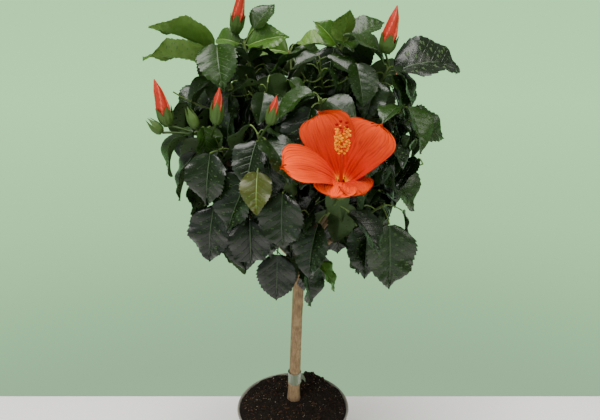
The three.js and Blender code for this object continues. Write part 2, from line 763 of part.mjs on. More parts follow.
function bloomSolids(receptacle) {
  const { forward, right, up } = bloomAxes();
  const throat = offset(receptacle, forward, BLOOM.tube);
  const solids = BLOOM.petals.map((petal) => blade((across, along, face) => {
    const lens = (1 - across ** 4) * (along < 1 ? 1 : 0);
    return petalPoint(throat, petal, across, along, face * lens * 0.9);
  }, 4, PETAL_ROWS));
  const calyx = [-2, 8, BLOOM.tube - 4, BLOOM.tube + 4].map((ahead) => offset(receptacle, forward, ahead));
  solids.push(limb(calyx, [1.8, 8, 6.5, 7.5], 8));
  const column = [0, 0.45, 0.8, 1].map((share) => offset(throat, forward, share * BLOOM.column));
  solids.push(limb(column, [2.2, 1.6, 1.4, 0.8], 6));
  for (let i = 0; i < BLOOM.stamens; i += 1) {
    const root = offset(throat, forward, BLOOM.column * (0.42 + (0.4 * i) / BLOOM.stamens));
    const out = offset(turned(up, right, i * GOLDEN_TURN), forward, 0.4).normalize();
    solids.push(limb([root, offset(root, out, 8)], [0.7, 1.2], 3));
  }
  for (let i = 0; i < BLOOM.stigmas; i += 1) {
    const root = offset(throat, forward, BLOOM.column * 0.97);
    const out = offset(turned(up, right, (360 * i) / BLOOM.stigmas), forward, 0.7).normalize();
    solids.push(limb([root, offset(root, out, 10)], [0.7, 1.4], 3));
  }
  return solids;
}

// ---- Foliage ---------------------------------------------------------------

// A direction out of a twig: turn degrees round it, spread degrees from it.
function outOf(tangent, turn, spread) {
  const level = new THREE.Vector3().crossVectors(tangent, UP);
  if (level.length() < 0.05) level.set(1, 0, 0);
  level.normalize();
  const other = new THREE.Vector3().crossVectors(level, tangent);
  return turned(tangent, turned(level, other, turn), spread);
}

function sideTwigs(shoot, random) {
  const curve = shootCurve(shoot);
  const length = curve.getLength() * (1 - BOUGH.share);
  const twigs = [];
  for (let i = 0; i < TWIG.count; i += 1) {
    const share = 0.06 + (0.6 * i) / TWIG.count;
    const at = lerp(foliageStart(shoot), 1, share);
    const turn = shoot.seed * 40 + i * GOLDEN_TURN + 50 * (random() - 0.5);
    const reach = length * TWIG.length * (1 - 0.35 * share) * (0.85 + 0.3 * random());
    const tangent = curve.getTangent(at);
    const start = curve.getPoint(at);
    const end = offset(start, outOf(tangent, turn, TWIG.spread), reach);
    const control = offset(start, outOf(tangent, turn, TWIG.spread + 16), reach / 2);
    const twig = new THREE.QuadraticBezierCurve3(start, control, end);
    const samples = twig.getPoints(12).slice(3);
    if (samples.every((point) => clearOfOthers(point, shoot.name) && clearOfLimbs(point))) twigs.push(twig);
  }
  return twigs;
}

// Poses drawn for a leaf: the older it is, the larger it is and the lower it hangs.
function drawLeaf(root, tangent, turn, age, random) {
  const out = outOf(tangent, turn + 40 * (random() - 0.5), 60);
  const crownSide = new THREE.Vector3(root.x - HEAD.x, root.y - HEAD.y, 0).normalize();
  const level = new THREE.Vector3(out.x, out.y, 0).addScaledVector(crownSide, 0.55);
  const low = THREE.MathUtils.clamp((520 - root.z) / 120, 0, 1);
  return {
    root,
    bearing: THREE.MathUtils.radToDeg(Math.atan2(level.y, level.x)),
    rise: lerp(4, -58, age) - 20 * low + 44 * (random() - 0.5),
    roll: 50 * (random() - 0.5),
    arch: 12 + 40 * random(),
    length: LEAF.length * lerp(LEAF.young, 1, age) * (0.86 + 0.24 * random()),
    petiole: LEAF.petiole * (0.5 + 0.7 * age) * (0.8 + 0.5 * random()),
    stalkRise: lerp(45, -5, age) - 20 * low,
  };
}

function dealLeaves(shoot, axis, from, count, random) {
  const leaves = [];
  for (let i = 0; i < count; i += 1) {
    const age = i / (count - 1);
    const at = lerp(0.99, from, age);
    const turn = shoot.seed * 25 + i * GOLDEN_TURN;
    const wanted = drawLeaf(axis.getPoint(at), axis.getTangent(at), turn, age, random);
    const leaf = settle(wanted, shoot.name, LEAF.swing);
    if (leaf) leaves.push(leaf);
  }
  return leaves;
}

// Stems, buds and the bloom come first, then twigs, then the leaves with a set
// place, and last the leaves that the rule deals out.
const MASSES = SHOOTS.map((shoot) => {
  const curve = shootCurve(shoot);
  const start = foliageStart(shoot);
  const wood = [];
  for (let at = start; at <= 1; at += 0.02) wood.push(curve.getPoint(at));
  claim(wood, shoot.name);
  for (const bud of shoot.buds) claim(budSamples(curve.getPoint(bud.at), bud), shoot.name);
  if (shoot.bloom) claim(bloomSamples(curve.getPoint(1)), shoot.name);
  return { shoot, curve, start, random: seeded(shoot.seed), twigs: [], leaves: [] };
});
for (const mass of MASSES) {
  if (mass.shoot.bloom) continue;
  mass.twigs = sideTwigs(mass.shoot, mass.random);
  for (const twig of mass.twigs) claim(twig.getPoints(24), mass.shoot.name);
}
for (const { shoot, curve, leaves } of MASSES) {
  for (const placed of shoot.leaves) {
    const stalkRise = placed.rise > 0 ? placed.rise : placed.rise / 3;
    const wanted = { ...placed, root: curve.getPoint(placed.at), stalkRise };
    const leaf = settle(wanted, shoot.name, LEAF.placedSwing);
    if (leaf) leaves.push(leaf);
  }
}
for (const { shoot, curve, start, random, twigs, leaves } of MASSES) {
  const count = shoot.bloom ? BLOOM.leaves : LEAF.onStem;
  leaves.push(...dealLeaves(shoot, curve, lerp(start, 1, LEAF.stemFrom), count, random));
  for (const twig of twigs) leaves.push(...dealLeaves(shoot, twig, LEAF.twigFrom, LEAF.onTwig, random));
}

function foliageSolid({ shoot, leaves, twigs, curve, start }) {
  const points = [];
  const radii = [];
  for (let step = 0; step <= BOUGH.steps; step += 1) {
    const at = lerp(start, 1, step / BOUGH.steps);
    points.push(curve.getPoint(at));
    radii.push(shootRadius(shoot, at));
  }
  const solids = [limb(points, radii, BOUGH.sides)];
  for (const twig of twigs) {
    const twigRadii = [TWIG.radius, (TWIG.radius + TWIG.tipRadius) / 2, TWIG.tipRadius];
    solids.push(limb(twig.getPoints(TWIG.steps), twigRadii, TWIG.sides));
  }
  for (const leaf of leaves) solids.push(leafSolid(leaf));
  for (const bud of shoot.buds) solids.push(...budSolids(curve.getPoint(bud.at), bud));
  if (shoot.bloom) solids.push(...bloomSolids(curve.getPoint(1)));
  return joined(solids);
}

// ---- The whole plant -------------------------------------------------------

const MATERIALS = {
  pot: new THREE.MeshStandardMaterial({ color: '#807d70', roughness: 0.55, metalness: 0 }),
  soil: new THREE.MeshStandardMaterial({ color: '#1c1a16', roughness: 1, metalness: 0 }),
  bark: new THREE.MeshStandardMaterial({ color: '#826e56', roughness: 0.85, metalness: 0 }),
  tie: new THREE.MeshStandardMaterial({ color: '#8d9484', roughness: 0.35, metalness: 0 }),
  leaves: new THREE.MeshStandardMaterial({ color: '#38462e', roughness: 0.4, metalness: 0 }),
  bloom: new THREE.MeshStandardMaterial({ color: '#e0522b', roughness: 0.6, metalness: 0 }),
};

const plant = new THREE.Group();

function add(name, geometry, material) {
  const mesh = new THREE.Mesh(geometry, MATERIALS[material]);
  mesh.name = name;
  plant.add(mesh);
}

add('pot', makePot(), 'pot');
add('soil', makeSoil(), 'soil');
add('stem', toGeometry(makeStem()), 'bark');
add('stem_tie', makeTie(), 'tie');

// Each bough is cut clear of the stem and of the boughs before it.
const inTheWay = [makeStem(GAP * 1.1)];
for (const shoot of SHOOTS) {
  const whole = boughLimb(shoot, 0);
  const cut = inTheWay.reduce((left, other) => left.subtract(other), whole);
  add(`bough_${shoot.name}`, toGeometry(largestBody(cut)), 'bark');
  inTheWay.push(boughLimb(shoot, GAP * 1.15));
}
for (const mass of MASSES) {
  const { name, bloom } = mass.shoot;
  add(bloom ? 'bloom' : `foliage_${name}`, toGeometry(foliageSolid(mass)), bloom ? 'bloom' : 'leaves');
}

export default plant;
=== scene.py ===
# %% [markdown]
# # A hibiscus grown as a small standard
#
# This lesson dresses a imported CAD model of a potted hibiscus: a bare stem, a
# round crown of glossy leaves, some buds and one open orange bloom. The CAD
# model gives the size and the place of everything. Blender gives the looks. We
# load the CAD model first. Nothing made here may grow past it. Lengths are
# written in millimetres, as a nursery would measure them, and turn to Blender's
# metres when a mesh is made.

# %% Load the frame
import math

import bpy
import numpy as np
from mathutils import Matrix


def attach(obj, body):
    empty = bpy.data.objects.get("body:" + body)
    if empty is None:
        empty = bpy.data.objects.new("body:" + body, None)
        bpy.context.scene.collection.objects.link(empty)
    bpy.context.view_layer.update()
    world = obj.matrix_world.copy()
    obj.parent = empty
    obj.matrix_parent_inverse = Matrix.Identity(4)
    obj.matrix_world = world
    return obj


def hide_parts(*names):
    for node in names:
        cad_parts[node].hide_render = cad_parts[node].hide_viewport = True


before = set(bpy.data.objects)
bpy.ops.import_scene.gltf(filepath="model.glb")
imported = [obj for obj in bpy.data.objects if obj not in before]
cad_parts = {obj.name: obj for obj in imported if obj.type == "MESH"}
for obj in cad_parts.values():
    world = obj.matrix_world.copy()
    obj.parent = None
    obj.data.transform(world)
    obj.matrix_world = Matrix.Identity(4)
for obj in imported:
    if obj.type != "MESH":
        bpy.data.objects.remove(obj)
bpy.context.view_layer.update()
MM = 0.001
print(len(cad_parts), "CAD nodes")

# %% [markdown]
# ## Camera, table and light
#
# A lens of 36 mm on a sensor 36 mm wide sees as much as a phone held at arm's
# length. It stands in front of the bloom, a little above the crown, and looks
# down by about 20 degrees. A plain pale table and large soft lamps are how such
# plants are shown in a shop. Large lamps matter here, because hibiscus leaves
# are glossy: each lamp is seen again in every leaf as a broad pale sheen. One
# small lamp, the skylight, adds the crisp highlights.

# %% Camera
camera = bpy.data.objects.new("camera", bpy.data.cameras.new("camera"))
bpy.context.scene.collection.objects.link(camera)
camera.data.lens = 36
camera.data.sensor_width = 36
camera.location = (0.0107, -0.766, 0.720)
camera.rotation_euler = (math.radians(70.5), 0, 0)
bpy.context.scene.camera = camera
print("camera height, m:", camera.location.z)

# %% [markdown]
# ## Colour and nodes
#
# Colours are picked as sRGB hex values, as a paint chart gives them. Blender
# mixes light in linear values, so one function turns hex into linear. Another
# small function adds a node with its settings and its links. A setting that is
# the name of a property is set on the node, and any other is the name or the
# number of an input.

# %% Helpers for materials
def linear(hex_colour, alpha=1.0):
    """An sRGB colour such as '#38462e' as Blender's linear RGBA."""
    channels = [int(hex_colour[i:i + 2], 16) / 255 for i in (1, 3, 5)]
    return [c / 12.92 if c < 0.04045 else ((c + 0.055) / 1.055) ** 2.4 for c in channels] + [alpha]


def add_node(tree, kind, settings=None, links=None):
    """Adds a node, sets its properties or inputs, and links its inputs to outputs."""
    node = tree.nodes.new(kind)
    for key, value in (settings or {}).items():
        if isinstance(key, str) and hasattr(node, key):
            setattr(node, key, value)
        else:
            node.inputs[key].default_value = value
    for key, output in (links or {}).items():
        tree.links.new(output, node.inputs[key])
    return node


def new_finish(name, settings):
    """A material with one Principled shader, and that shader to build on."""
    material = bpy.data.materials.new(name)
    material.use_nodes = True
    tree = material.node_tree
    tree.nodes.clear()
    shader = add_node(tree, "ShaderNodeBsdfPrincipled", settings)
    add_node(tree, "ShaderNodeOutputMaterial", links={"Surface": shader.outputs["BSDF"]})
    return material, tree, shader


print("leaf green in linear values:", [round(c, 3) for c in linear("#38462e")])

# %% [markdown]
# ## One way to make every mesh
#
# All the pieces are joined meshes: a list of sheets, each with its points, its
# faces, the number of its finish, and whether it is rounded. Numpy arrays are
# quick, and foreach_set hands them to Blender without a loop over each point.

# %% Join sheets into one piece
def make_piece(name, sheets, finishes):
    """Joins sheets (points in mm, faces, finish number, rounded) into one object."""
    points, corners, sizes, numbers, rounded = [], [], [], [], []
    first = 0
    for place, faces, number, is_round in sheets:
        faces = np.asarray(faces)
        points.append(np.asarray(place, float).reshape(-1, 3))
        corners.append(faces.ravel() + first)
        sizes.append(np.full(len(faces), faces.shape[1]))
        numbers.append(np.full(len(faces), number))
        rounded.append(np.full(len(faces), is_round))
        first += len(points[-1])
    points, corners, sizes = np.concatenate(points) * MM, np.concatenate(corners), np.concatenate(sizes)
    mesh = bpy.data.meshes.new(name)
    mesh.vertices.add(len(points))
    mesh.vertices.foreach_set("co", points.ravel())
    mesh.loops.add(len(corners))
    mesh.loops.foreach_set("vertex_index", corners)
    mesh.polygons.add(len(sizes))
    mesh.polygons.foreach_set("loop_start", np.concatenate([[0], np.cumsum(sizes)[:-1]]))
    mesh.polygons.foreach_set("material_index", np.concatenate(numbers))
    mesh.polygons.foreach_set("use_smooth", np.concatenate(rounded))
    for finish in finishes:
        mesh.materials.append(finish)
    mesh.update(calc_edges=True)
    mesh.validate()
    piece = bpy.data.objects.new(name, mesh)
    bpy.context.scene.collection.objects.link(piece)
    print(f"{name}: {int((sizes - 2).sum())} triangles")
    return piece


def grid_faces(rows, columns, closed=False):
    """Faces between neighbours in a grid of rows by columns of points."""
    steps = columns if closed else columns - 1
    row, column = np.meshgrid(np.arange(rows - 1), np.arange(steps), indexing="ij")
    here, right = row * columns + column, row * columns + (column + 1) % columns
    return np.stack([here, right, right + columns, here + columns], -1).reshape(-1, 4)


# %% Table and lamps
def add_lamp(name, place, target, size, power, colour="#ffffff"):
    lamp = bpy.data.objects.new(name, bpy.data.lights.new(name, "AREA"))
    bpy.context.scene.collection.objects.link(lamp)
    lamp.data.shape = "DISK"
    lamp.data.size = size
    lamp.data.energy = power
    lamp.data.color = linear(colour)[:3]
    lamp.location = place
    aim = np.subtract(target, place)
    lamp.rotation_euler = (math.atan2(math.hypot(aim[0], aim[1]), -aim[2]), 0, math.atan2(-aim[0], aim[1]))


table_finish = new_finish("white laminate table", {"Base Color": linear("#fbfbf7"), "Roughness": 0.5})[0]
HALF_TABLE, TABLE_FRONT, TABLE_BACK, TABLE_THICKNESS = 2500, -2500, 198, 28
table_top = [(x, y, 0) for y in (TABLE_FRONT, TABLE_BACK) for x in (-HALF_TABLE, HALF_TABLE)]
table_edge = [(x, TABLE_BACK, z) for z in (0, -TABLE_THICKNESS) for x in (-HALF_TABLE, HALF_TABLE)]
table = make_piece("table", [(table_top, [(0, 1, 3, 2)], 0, False), (table_edge, [(0, 1, 3, 2)], 0, False)],
                   [table_finish])

crown_middle = (0.02, 0.0, 0.53)
add_lamp("ceiling", (-0.2, -0.5, 3.2), crown_middle, 2.2, 126, "#fffcfa")
add_lamp("skylight", (-0.9, -1.2, 2.5), crown_middle, 0.5, 20, "#fffcfa")
add_lamp("window", (1.8, -1.6, 2.2), crown_middle, 1.2, 24, "#fffaf2")
add_lamp("front", (-1.4, -2.0, 1.3), crown_middle, 1.4, 9, "#f4f8ff")

# %% [markdown]
# The room beyond the table is painted a pale green that gets deeper towards the
# ground. It surrounds the plant on all sides, as a colour that depends only on
# the direction looked in. Above the horizon it is a dim neutral ceiling, so the
# leaves are not tinted by it.

# %% Room
world = bpy.data.worlds.new("pale green room")
bpy.context.scene.world = world
world.use_nodes = True
room = world.node_tree
direction = add_node(room, "ShaderNodeTexCoord")
height = add_node(room, "ShaderNodeSeparateXYZ", links={"Vector": direction.outputs["Generated"]})
share = add_node(room, "ShaderNodeMapRange", {"From Min": -1.0, "From Max": 1.0},
                 {"Value": height.outputs["Z"]})
paint = add_node(room, "ShaderNodeValToRGB", links={"Fac": share.outputs["Result"]})
for stop, colour in ((0.225, "#97c196"), (0.27, "#9ed29c"), (0.335, "#b1edaa"), (0.425, "#beffb7"),
                     (0.51, "#bbffb7"), (0.56, "#8d8d8a")):
    paint.color_ramp.elements.new(stop).color = linear(colour)
paint.color_ramp.elements.remove(paint.color_ramp.elements[0])
paint.color_ramp.elements.remove(paint.color_ramp.elements[-1])
room.nodes["Background"].inputs["Strength"].default_value = 1.15
room.links.new(paint.outputs["Color"], room.nodes["Background"].inputs["Color"])
# %% [markdown]
# ## The plant's plan
#
# A standard is trained on one stem. Its head is cut once, and a ring of shoots
# breaks from just below the cut. Each shoot here is one curve: its first part is
# the bare bough of the CAD model, and the rest carries leaves. The table gives
# each shoot's start (a level on the stem, or an older shoot and a place on it),
# its tip (bearing, rise and reach from the head of the stem), its bow, and the
# leaves and buds that have a set place.
# A leaf is (place, bearing, rise, length, roll, arch, stalk), and a bud is
# (place, its stalk, its point, radius). Bearings are degrees from +X to +Y.

# %% Sizes, mm and degrees
GOLDEN_TURN = 137.5
GAP = 0.3
POT = dict(height=132, rim=85, base=60, wall=2, lip_depth=9, lip_out=1.6, floor=2.5,
           holes=6, hole_radius=5, hole_circle=44)
SOIL = dict(edge=130.5, seat=146, seat_radius=14, mound=15, mound_at=(34, 56), spread=28, shoulder=(68, 82),
            ripple=1.4)
STEM = dict(foot=(1.2, 0), lean=0.038, head=397, foot_radius=8.8, head_radius=7.6, flare=1.5, flare_height=9)
TIE = dict(level=184, height=17, thickness=0.8, looseness=0.5)
HEAD = np.array([11.0, 0.0, 392.0])
BOUGH = dict(share=0.4, radius=5, fork_radius=3.2, tip_radius=1.5)
TWIG = dict(count=5, length=0.62, spread=50, radius=1.5, tip_radius=0.8)
LEAF = dict(length=88, width=0.72, young=0.8, fold=14, widest=0.37, stalk=25, stalk_radius=0.9,
            on_stem=14, on_twig=7, stem_from=0.33, twig_from=0.5,
            tries=14, sag=12, swing=28, placed_swing=7, shrink=0.03)
CROWN = dict(centre=np.array([16.0, 0.0, 530.0]), radius=164, half_height=190)
WEDGE = dict(start=np.array([54.0, -110.0, 422.0]), end=np.array([62.0, 10.0, 367.0]), radius=17)
CLAIM = dict(cube=5.5, small_cube=4, rows=24, columns=8, overlap=50, shared=0.015)
BLOOM = dict(petals=((26, 70, 75, 73), (-44, 71, 72, 92), (110, 78, 75, 69), (172, 92, 42, 50),
                     (-143, 80, 44, 46)),
             ring=4, base_angle=25, tube=24, facing=(-94, 62), column=78, bonus=20, leaves=3)

SHOOTS = [
    dict(name="bloom", start=374, tip=(-72.3, 39.7, 189.5), bow=0.06, seed=18,
         leaves=[(0.73, -130, -62, 71, 0, 26, 18),
                 (0.86, -30, -34, 62, 0, 30, 20)],
         bloom=True),
    dict(name="front", start=378, tip=(-113, 57, 222), bow=-0.08, seed=22,
         leaves=[(0.97, -40, 6, 70, 0, 50, 14),
                 (0.9, -95, -50, 48, 0, 20, 44)],
         buds=[(0.97, (-60, 38, 34), (0, 76, 32), 6)]),
    dict(name="upper_front", start=397, tip=(-74, 69, 236), bow=-0.04, seed=28,
         leaves=[(0.97, -150, -24, 84, 10, 40, 16),
                 (0.98, -20, 6, 72, 0, 46, 12)]),
    dict(name="upper_left", start=388, tip=(-165, 69, 289), bow=-0.02, seed=11,
         leaves=[(0.98, 179, 28, 82, -32, 14, 6),
                 (0.93, 187, 14, 82, -30, 12, 14),
                 (0.88, -150, -20, 66, 0, 45, 16)]),
    dict(name="top_left", start=393, tip=(158, 74, 284), bow=0, seed=12,
         leaves=[(0.99, 14, 56, 44, -40, 30, 24),
                 (0.98, -8, 34, 58, -50, 16, 4),
                 (0.98, -176, 34, 42, 52, 50, 8),
                 (0.89, -91, 52, 48, 0, 60, 8)],
         buds=[(0.99, (180, 54, 18), (0, 79, 58), 8.5)]),
    dict(name="top", start=395, tip=(9, 79, 277), bow=0, seed=14,
         leaves=[(0.99, -63, 70, 46, 0, 12, 6),
                 (0.97, 168, 26, 66, 20, 34, 12),
                 (0.97, -176, 56, 42, 62, 20, 10),
                 (0.97, 14, 44, 62, -30, 37, 12)]),
    dict(name="upper_right", start=("top", 0.3), tip=(-15, 66, 274), bow=-0.04, seed=15,
         leaves=[(0.94, 2, 22, 98, -34, 50, 14),
                 (0.98, -165, 50, 64, 24, 26, 8),
                 (0.94, -169, 14, 78, 14, 52, 10),
                 (0.89, -29, -55, 44, 0, 13, 17)],
         buds=[(0.99, (-150, 68, 18), (0, 78, 56), 9.5)]),
    dict(name="left", start=("upper_left", 0.26), tip=(-150, 52, 225), bow=-0.06, seed=72,
         leaves=[(0.99, 178, 20, 78, -1, 84, 6),
                 (0.86, -168, -56, 66, 0, 20, 18)],
         buds=[(0.98, (186, 18, 38), (180, 77, 56), 8.5),
               (0.98, (190, 6, 44), (180, 45, 24), 5.5),
               (0.93, (-110, 45, 26), (165, 66, 27), 5.5),
               (0.88, (-68, 42, 48), (0, 82, 42), 7)]),
    dict(name="right", start=380, tip=(2, 55, 227), bow=-0.05, seed=16,
         leaves=[(0.95, -2, -2, 68, -47, 46, 10),
                 (0.72, -32, -34, 80, -14, 36, 14)]),
    dict(name="lower_left", start=368, tip=(-142, 38, 156), bow=0.1, seed=20,
         leaves=[(0.98, -140, -76, 74, 34, 18, 14),
                 (0.74, -102, -64, 76, 6, 12, 3),
                 (0.99, 176, -66, 60, 0, 18, 26)]),
    dict(name="low_front", start=352, tip=(-112, 26, 82), bow=0.2, seed=80,
         leaves=[(0.96, -118, -78, 80, 0, 12, 16),
                 (0.84, -24, -72, 68, -8, 14, 32),
                 (0.98, -18, -52, 46, 0, 20, 56)]),
    dict(name="lower_right", start=362, tip=(-28, 35, 146), bow=0.1, seed=30,
         leaves=[(0.97, -77, -77, 86, -8, 14, 32),
                 (0.84, -101, -66, 70, 10, 16, 22),
                 (0.99, 8, -46, 48, 0, 26, 24)]),
    dict(name="back_left", start=("top_left", 0.24), tip=(142, 54, 250), bow=-0.05, seed=50),
    dict(name="back", start=386, tip=(97, 66, 284), bow=-0.05, seed=24,
         leaves=[(0.98, -172, 14, 64, 52, 40, 3),
                 (0.97, -23, 1, 52, -50, 46, 4)],
         buds=[(0.85, (100, 4, 44), (90, 62, 44), 7.5)]),
    dict(name="back_right", start=("back", 0.28), tip=(40, 54, 250), bow=-0.05, seed=25,
         buds=[(0.95, (30, 30, 34), (20, 66, 34), 6.5)]),
    dict(name="back_low_left", start=366, tip=(124, 30, 150), bow=0.1, seed=26),
    dict(name="back_low_right", start=358, tip=(61, 30, 146), bow=0.1, seed=27),
]

print(len(SHOOTS), "shoots")

# %% [markdown]
# ## Curves, directions and seeded chance
#
# The leaves must land where the CAD model has them, so this lesson grows the
# plant by the same rule: the same curves, the same order of tries and the same
# seeded chance. The random numbers come from a small integer generator called
# mulberry32, because it gives the same row of numbers in any language.

# %% Helpers for growing
UP = np.array([0.0, 0.0, 1.0])


def blend(a, b, share):
    return a + (b - a) * share


def unit(vector):
    return vector / np.linalg.norm(vector)


def heading(bearing, rise):
    """The direction at a compass bearing and a rise above the level, in degrees."""
    level = math.cos(math.radians(rise))
    return np.array([level * math.cos(math.radians(bearing)), level * math.sin(math.radians(bearing)),
                     math.sin(math.radians(rise))])


def seeded(seed):
    """A generator of numbers from 0 to 1 that is the same on every run."""
    state = (seed * 7919) & 0xFFFFFFFF

    def draw():
        nonlocal state
        state = (state + 0x6D2B79F5) & 0xFFFFFFFF
        mixed = ((state ^ (state >> 15)) * (1 | state)) & 0xFFFFFFFF
        mixed = ((mixed + (((mixed ^ (mixed >> 7)) * (61 | mixed)) & 0xFFFFFFFF)) & 0xFFFFFFFF) ^ mixed
        return ((mixed ^ (mixed >> 14)) & 0xFFFFFFFF) / 4294967296
    return draw


class Curve:
    """A shoot or twig: a curve from a start to an end, pulled towards a third point."""

    def __init__(self, start, pull, end):
        self.start, self.pull, self.end = start, pull, end
        points = self.at(np.linspace(0, 1, 201))
        self.length = float(np.linalg.norm(np.diff(points, axis=0), axis=1).sum())

    def at(self, share):
        t = np.asarray(share, float)[..., None]
        return (1 - t) ** 2 * self.start + 2 * (1 - t) * t * self.pull + t ** 2 * self.end

    def tangent(self, share):
        nudge = 0.0001
        return unit(self.at(min(share + nudge, 1)) - self.at(max(share - nudge, 0)))


STEM_FOOT = SOIL["seat"] + GAP


def stem_point(level):
    return np.array([STEM["foot"][0] + STEM["lean"] * (level - STEM_FOOT), STEM["foot"][1], level])


def stem_radius(level):
    flare = STEM["flare"] * math.exp(-(level - STEM_FOOT) / STEM["flare_height"])
    share = (level - STEM_FOOT) / (STEM["head"] - STEM_FOOT)
    return blend(STEM["foot_radius"], STEM["head_radius"], share) + flare


curves = {}
for shoot in SHOOTS:
    start = shoot["start"]
    is_fork = isinstance(start, tuple)
    start = curves[start[0]].at(start[1]) if is_fork else stem_point(start)
    tip = HEAD + heading(*shoot["tip"][:2]) * shoot["tip"][2]
    curves[shoot["name"]] = Curve(start, (start + tip) / 2 + UP * shoot["bow"] * shoot["tip"][2], tip)
    shoot["root_radius"] = BOUGH["fork_radius"] if is_fork else BOUGH["radius"]
    shoot["leaf_start"] = BOUGH["share"] + GAP / curves[shoot["name"]].length


def shoot_radius(shoot, at):
    return blend(shoot["root_radius"], BOUGH["tip_radius"], at ** 0.8)


print("longest shoot, mm:", round(max(curve.length for curve in curves.values())))

# %% [markdown]
# ## Room for every leaf
#
# Leaves shade each other out, so on a real shrub they turn until each one finds
# its own light. Here the space is cut into small cubes. Every leaf that is placed
# fills the cubes it passes through, and a new leaf that would pass through filled
# cubes turns aside or hangs lower until it fits. Larger cubes keep each shoot's
# leaves clear of every other shoot's.

# %% Cubes of space
GRID_LOW = np.array([-300.0, -320.0, -20.0])
GRID_SIDE = 780.0


def empty_grid(cube, kind):
    return np.zeros([int(GRID_SIDE / cube) + 3] * 3, kind)


filled = empty_grid(CLAIM["small_cube"], bool)
claimed = empty_grid(CLAIM["cube"], np.int16)
SEVERAL = -1


def cells(points, cube):
    """The cube that holds each point, counted from the corner of the grid."""
    first = np.floor(GRID_LOW / cube).astype(int)
    return tuple((np.floor(np.asarray(points).reshape(-1, 3) / cube).astype(int) - first).T)


def claim(points, mass):
    filled[cells(points, CLAIM["small_cube"])] = True
    x, y, z = (np.unique(np.stack(cells(points, CLAIM["cube"])), axis=1))
    for dx in (-1, 0, 1):
        for dy in (-1, 0, 1):
            for dz in (-1, 0, 1):
                here = claimed[x + dx, y + dy, z + dz]
                claimed[x + dx, y + dy, z + dz] = np.where((here == 0) | (here == mass), mass, SEVERAL)


def clear_of_others(points, mass):
    here = claimed[cells(points, CLAIM["cube"])]
    return bool(np.all((here == 0) | (here == mass)))


limb_points, limb_room = [], []
for level in np.arange(STEM_FOOT, STEM["head"] + 1e-9, 6):
    limb_points.append(stem_point(level))
    limb_room.append(stem_radius(level) + 7)
for shoot in SHOOTS:
    at = 0.0
    while at <= BOUGH["share"]:
        limb_points.append(curves[shoot["name"]].at(at))
        limb_room.append(shoot_radius(shoot, at) + 6)
        at += 0.02
limb_points, limb_room = np.array(limb_points), np.array(limb_room)


def clear_of_limbs(points):
    apart = np.linalg.norm(np.asarray(points).reshape(-1, 1, 3) - limb_points, axis=2)
    return bool(np.all(apart > limb_room))


def off_path(point, start, span):
    """How far a point lies from each straight piece of a path."""
    along = np.clip(((point - start) * span).sum(-1) / (span ** 2).sum(-1), 0, 1)
    return np.linalg.norm(point - start - span * along[..., None], axis=-1)


rooms = []
for shoot in SHOOTS:
    path = curves[shoot["name"]].at(blend(shoot["leaf_start"], 1, np.arange(9) / 8))
    if shoot.get("bloom"):
        path = np.vstack([path, path[-1] + heading(*BLOOM["facing"]) * BLOOM["column"]])
    rooms.append((path[:-1], np.diff(path, axis=0), BLOOM["bonus"] if shoot.get("bloom") else 0))


def in_own_room(point, own):
    """True where a shoot's own stem is the nearest, or nearly the nearest."""
    apart = [off_path(point, start, span).min() - bonus for start, span, bonus in rooms]
    return apart[own] < min(apart) + CLAIM["overlap"]


def in_crown(point, reach=1.0):
    """True inside the crown's outline and outside the wedge of open air under the bloom."""
    level = math.hypot(point[0] - CROWN["centre"][0], point[1] - CROWN["centre"][1]) / CROWN["radius"]
    in_wedge = off_path(point, WEDGE["start"], WEDGE["end"] - WEDGE["start"]) <= WEDGE["radius"]
    return math.hypot(level, (point[2] - CROWN["centre"][2]) / CROWN["half_height"]) < reach and not in_wedge


print("cubes in all:", filled.size, "and", claimed.size)

# %% [markdown]
# ## The pose of a leaf
#
# A hibiscus leaf hangs on a stalk, arches along its midrib, and folds a little
# upwards on both sides of it, like a shallow boat. Young leaves near a shoot's
# tip stand up and are small. Old ones are large and hang. Each leaf's plan holds
# where its blade starts, the directions along and across it, and its size.

# %% Leaf plans
def leaf_outline(along):
    """Half the width of a blade, as a share of its greatest, from base to tip."""
    fall = 0.55 * (1 / LEAF["widest"] - 1)
    peak = LEAF["widest"] ** 0.55 * (1 - LEAF["widest"]) ** fall
    return along ** 0.55 * np.clip(1 - along, 0, 1) ** fall / peak


def plan_leaf(root, bearing, rise, roll, arch, length, stalk, stalk_rise):
    along = heading(bearing, rise)
    level = heading(bearing + 90, 0)
    flat = np.cross(along, level)
    side = -level * math.cos(math.radians(roll)) + flat * math.sin(math.radians(roll))
    return dict(root=root, base=root + heading(bearing, stalk_rise) * stalk, along=along, side=side,
                normal=np.cross(side, along), length=length, width=length * LEAF["width"],
                arch=math.radians(arch))


def on_leaf(leaf, across, along, lift=0.0):
    """A place on a blade: across is -1 to 1, along 0 to 1, and lift is in mm."""
    across, along = np.asarray(across, float)[..., None], np.asarray(along, float)[..., None]
    lift = np.asarray(lift, float)[..., None] if np.ndim(lift) else lift
    half = leaf["width"] / 2 * leaf_outline(along)
    bend, radius = leaf["arch"] * along, leaf["length"] / leaf["arch"]
    surface = leaf["normal"] * np.cos(bend) + leaf["along"] * np.sin(bend)
    fold = math.radians(LEAF["fold"])
    return (leaf["base"] + leaf["along"] * radius * np.sin(bend)
            - leaf["normal"] * radius * (1 - np.cos(bend))
            + leaf["side"] * across * half * math.cos(fold)
            + surface * (np.abs(across) * half * math.sin(fold) + lift))


sample_along = np.repeat(np.arange(2, CLAIM["rows"] + 1) / CLAIM["rows"], 2 * CLAIM["columns"] + 1)
sample_across = np.tile(np.arange(-CLAIM["columns"], CLAIM["columns"] + 1) / CLAIM["columns"],
                        CLAIM["rows"] - 1)


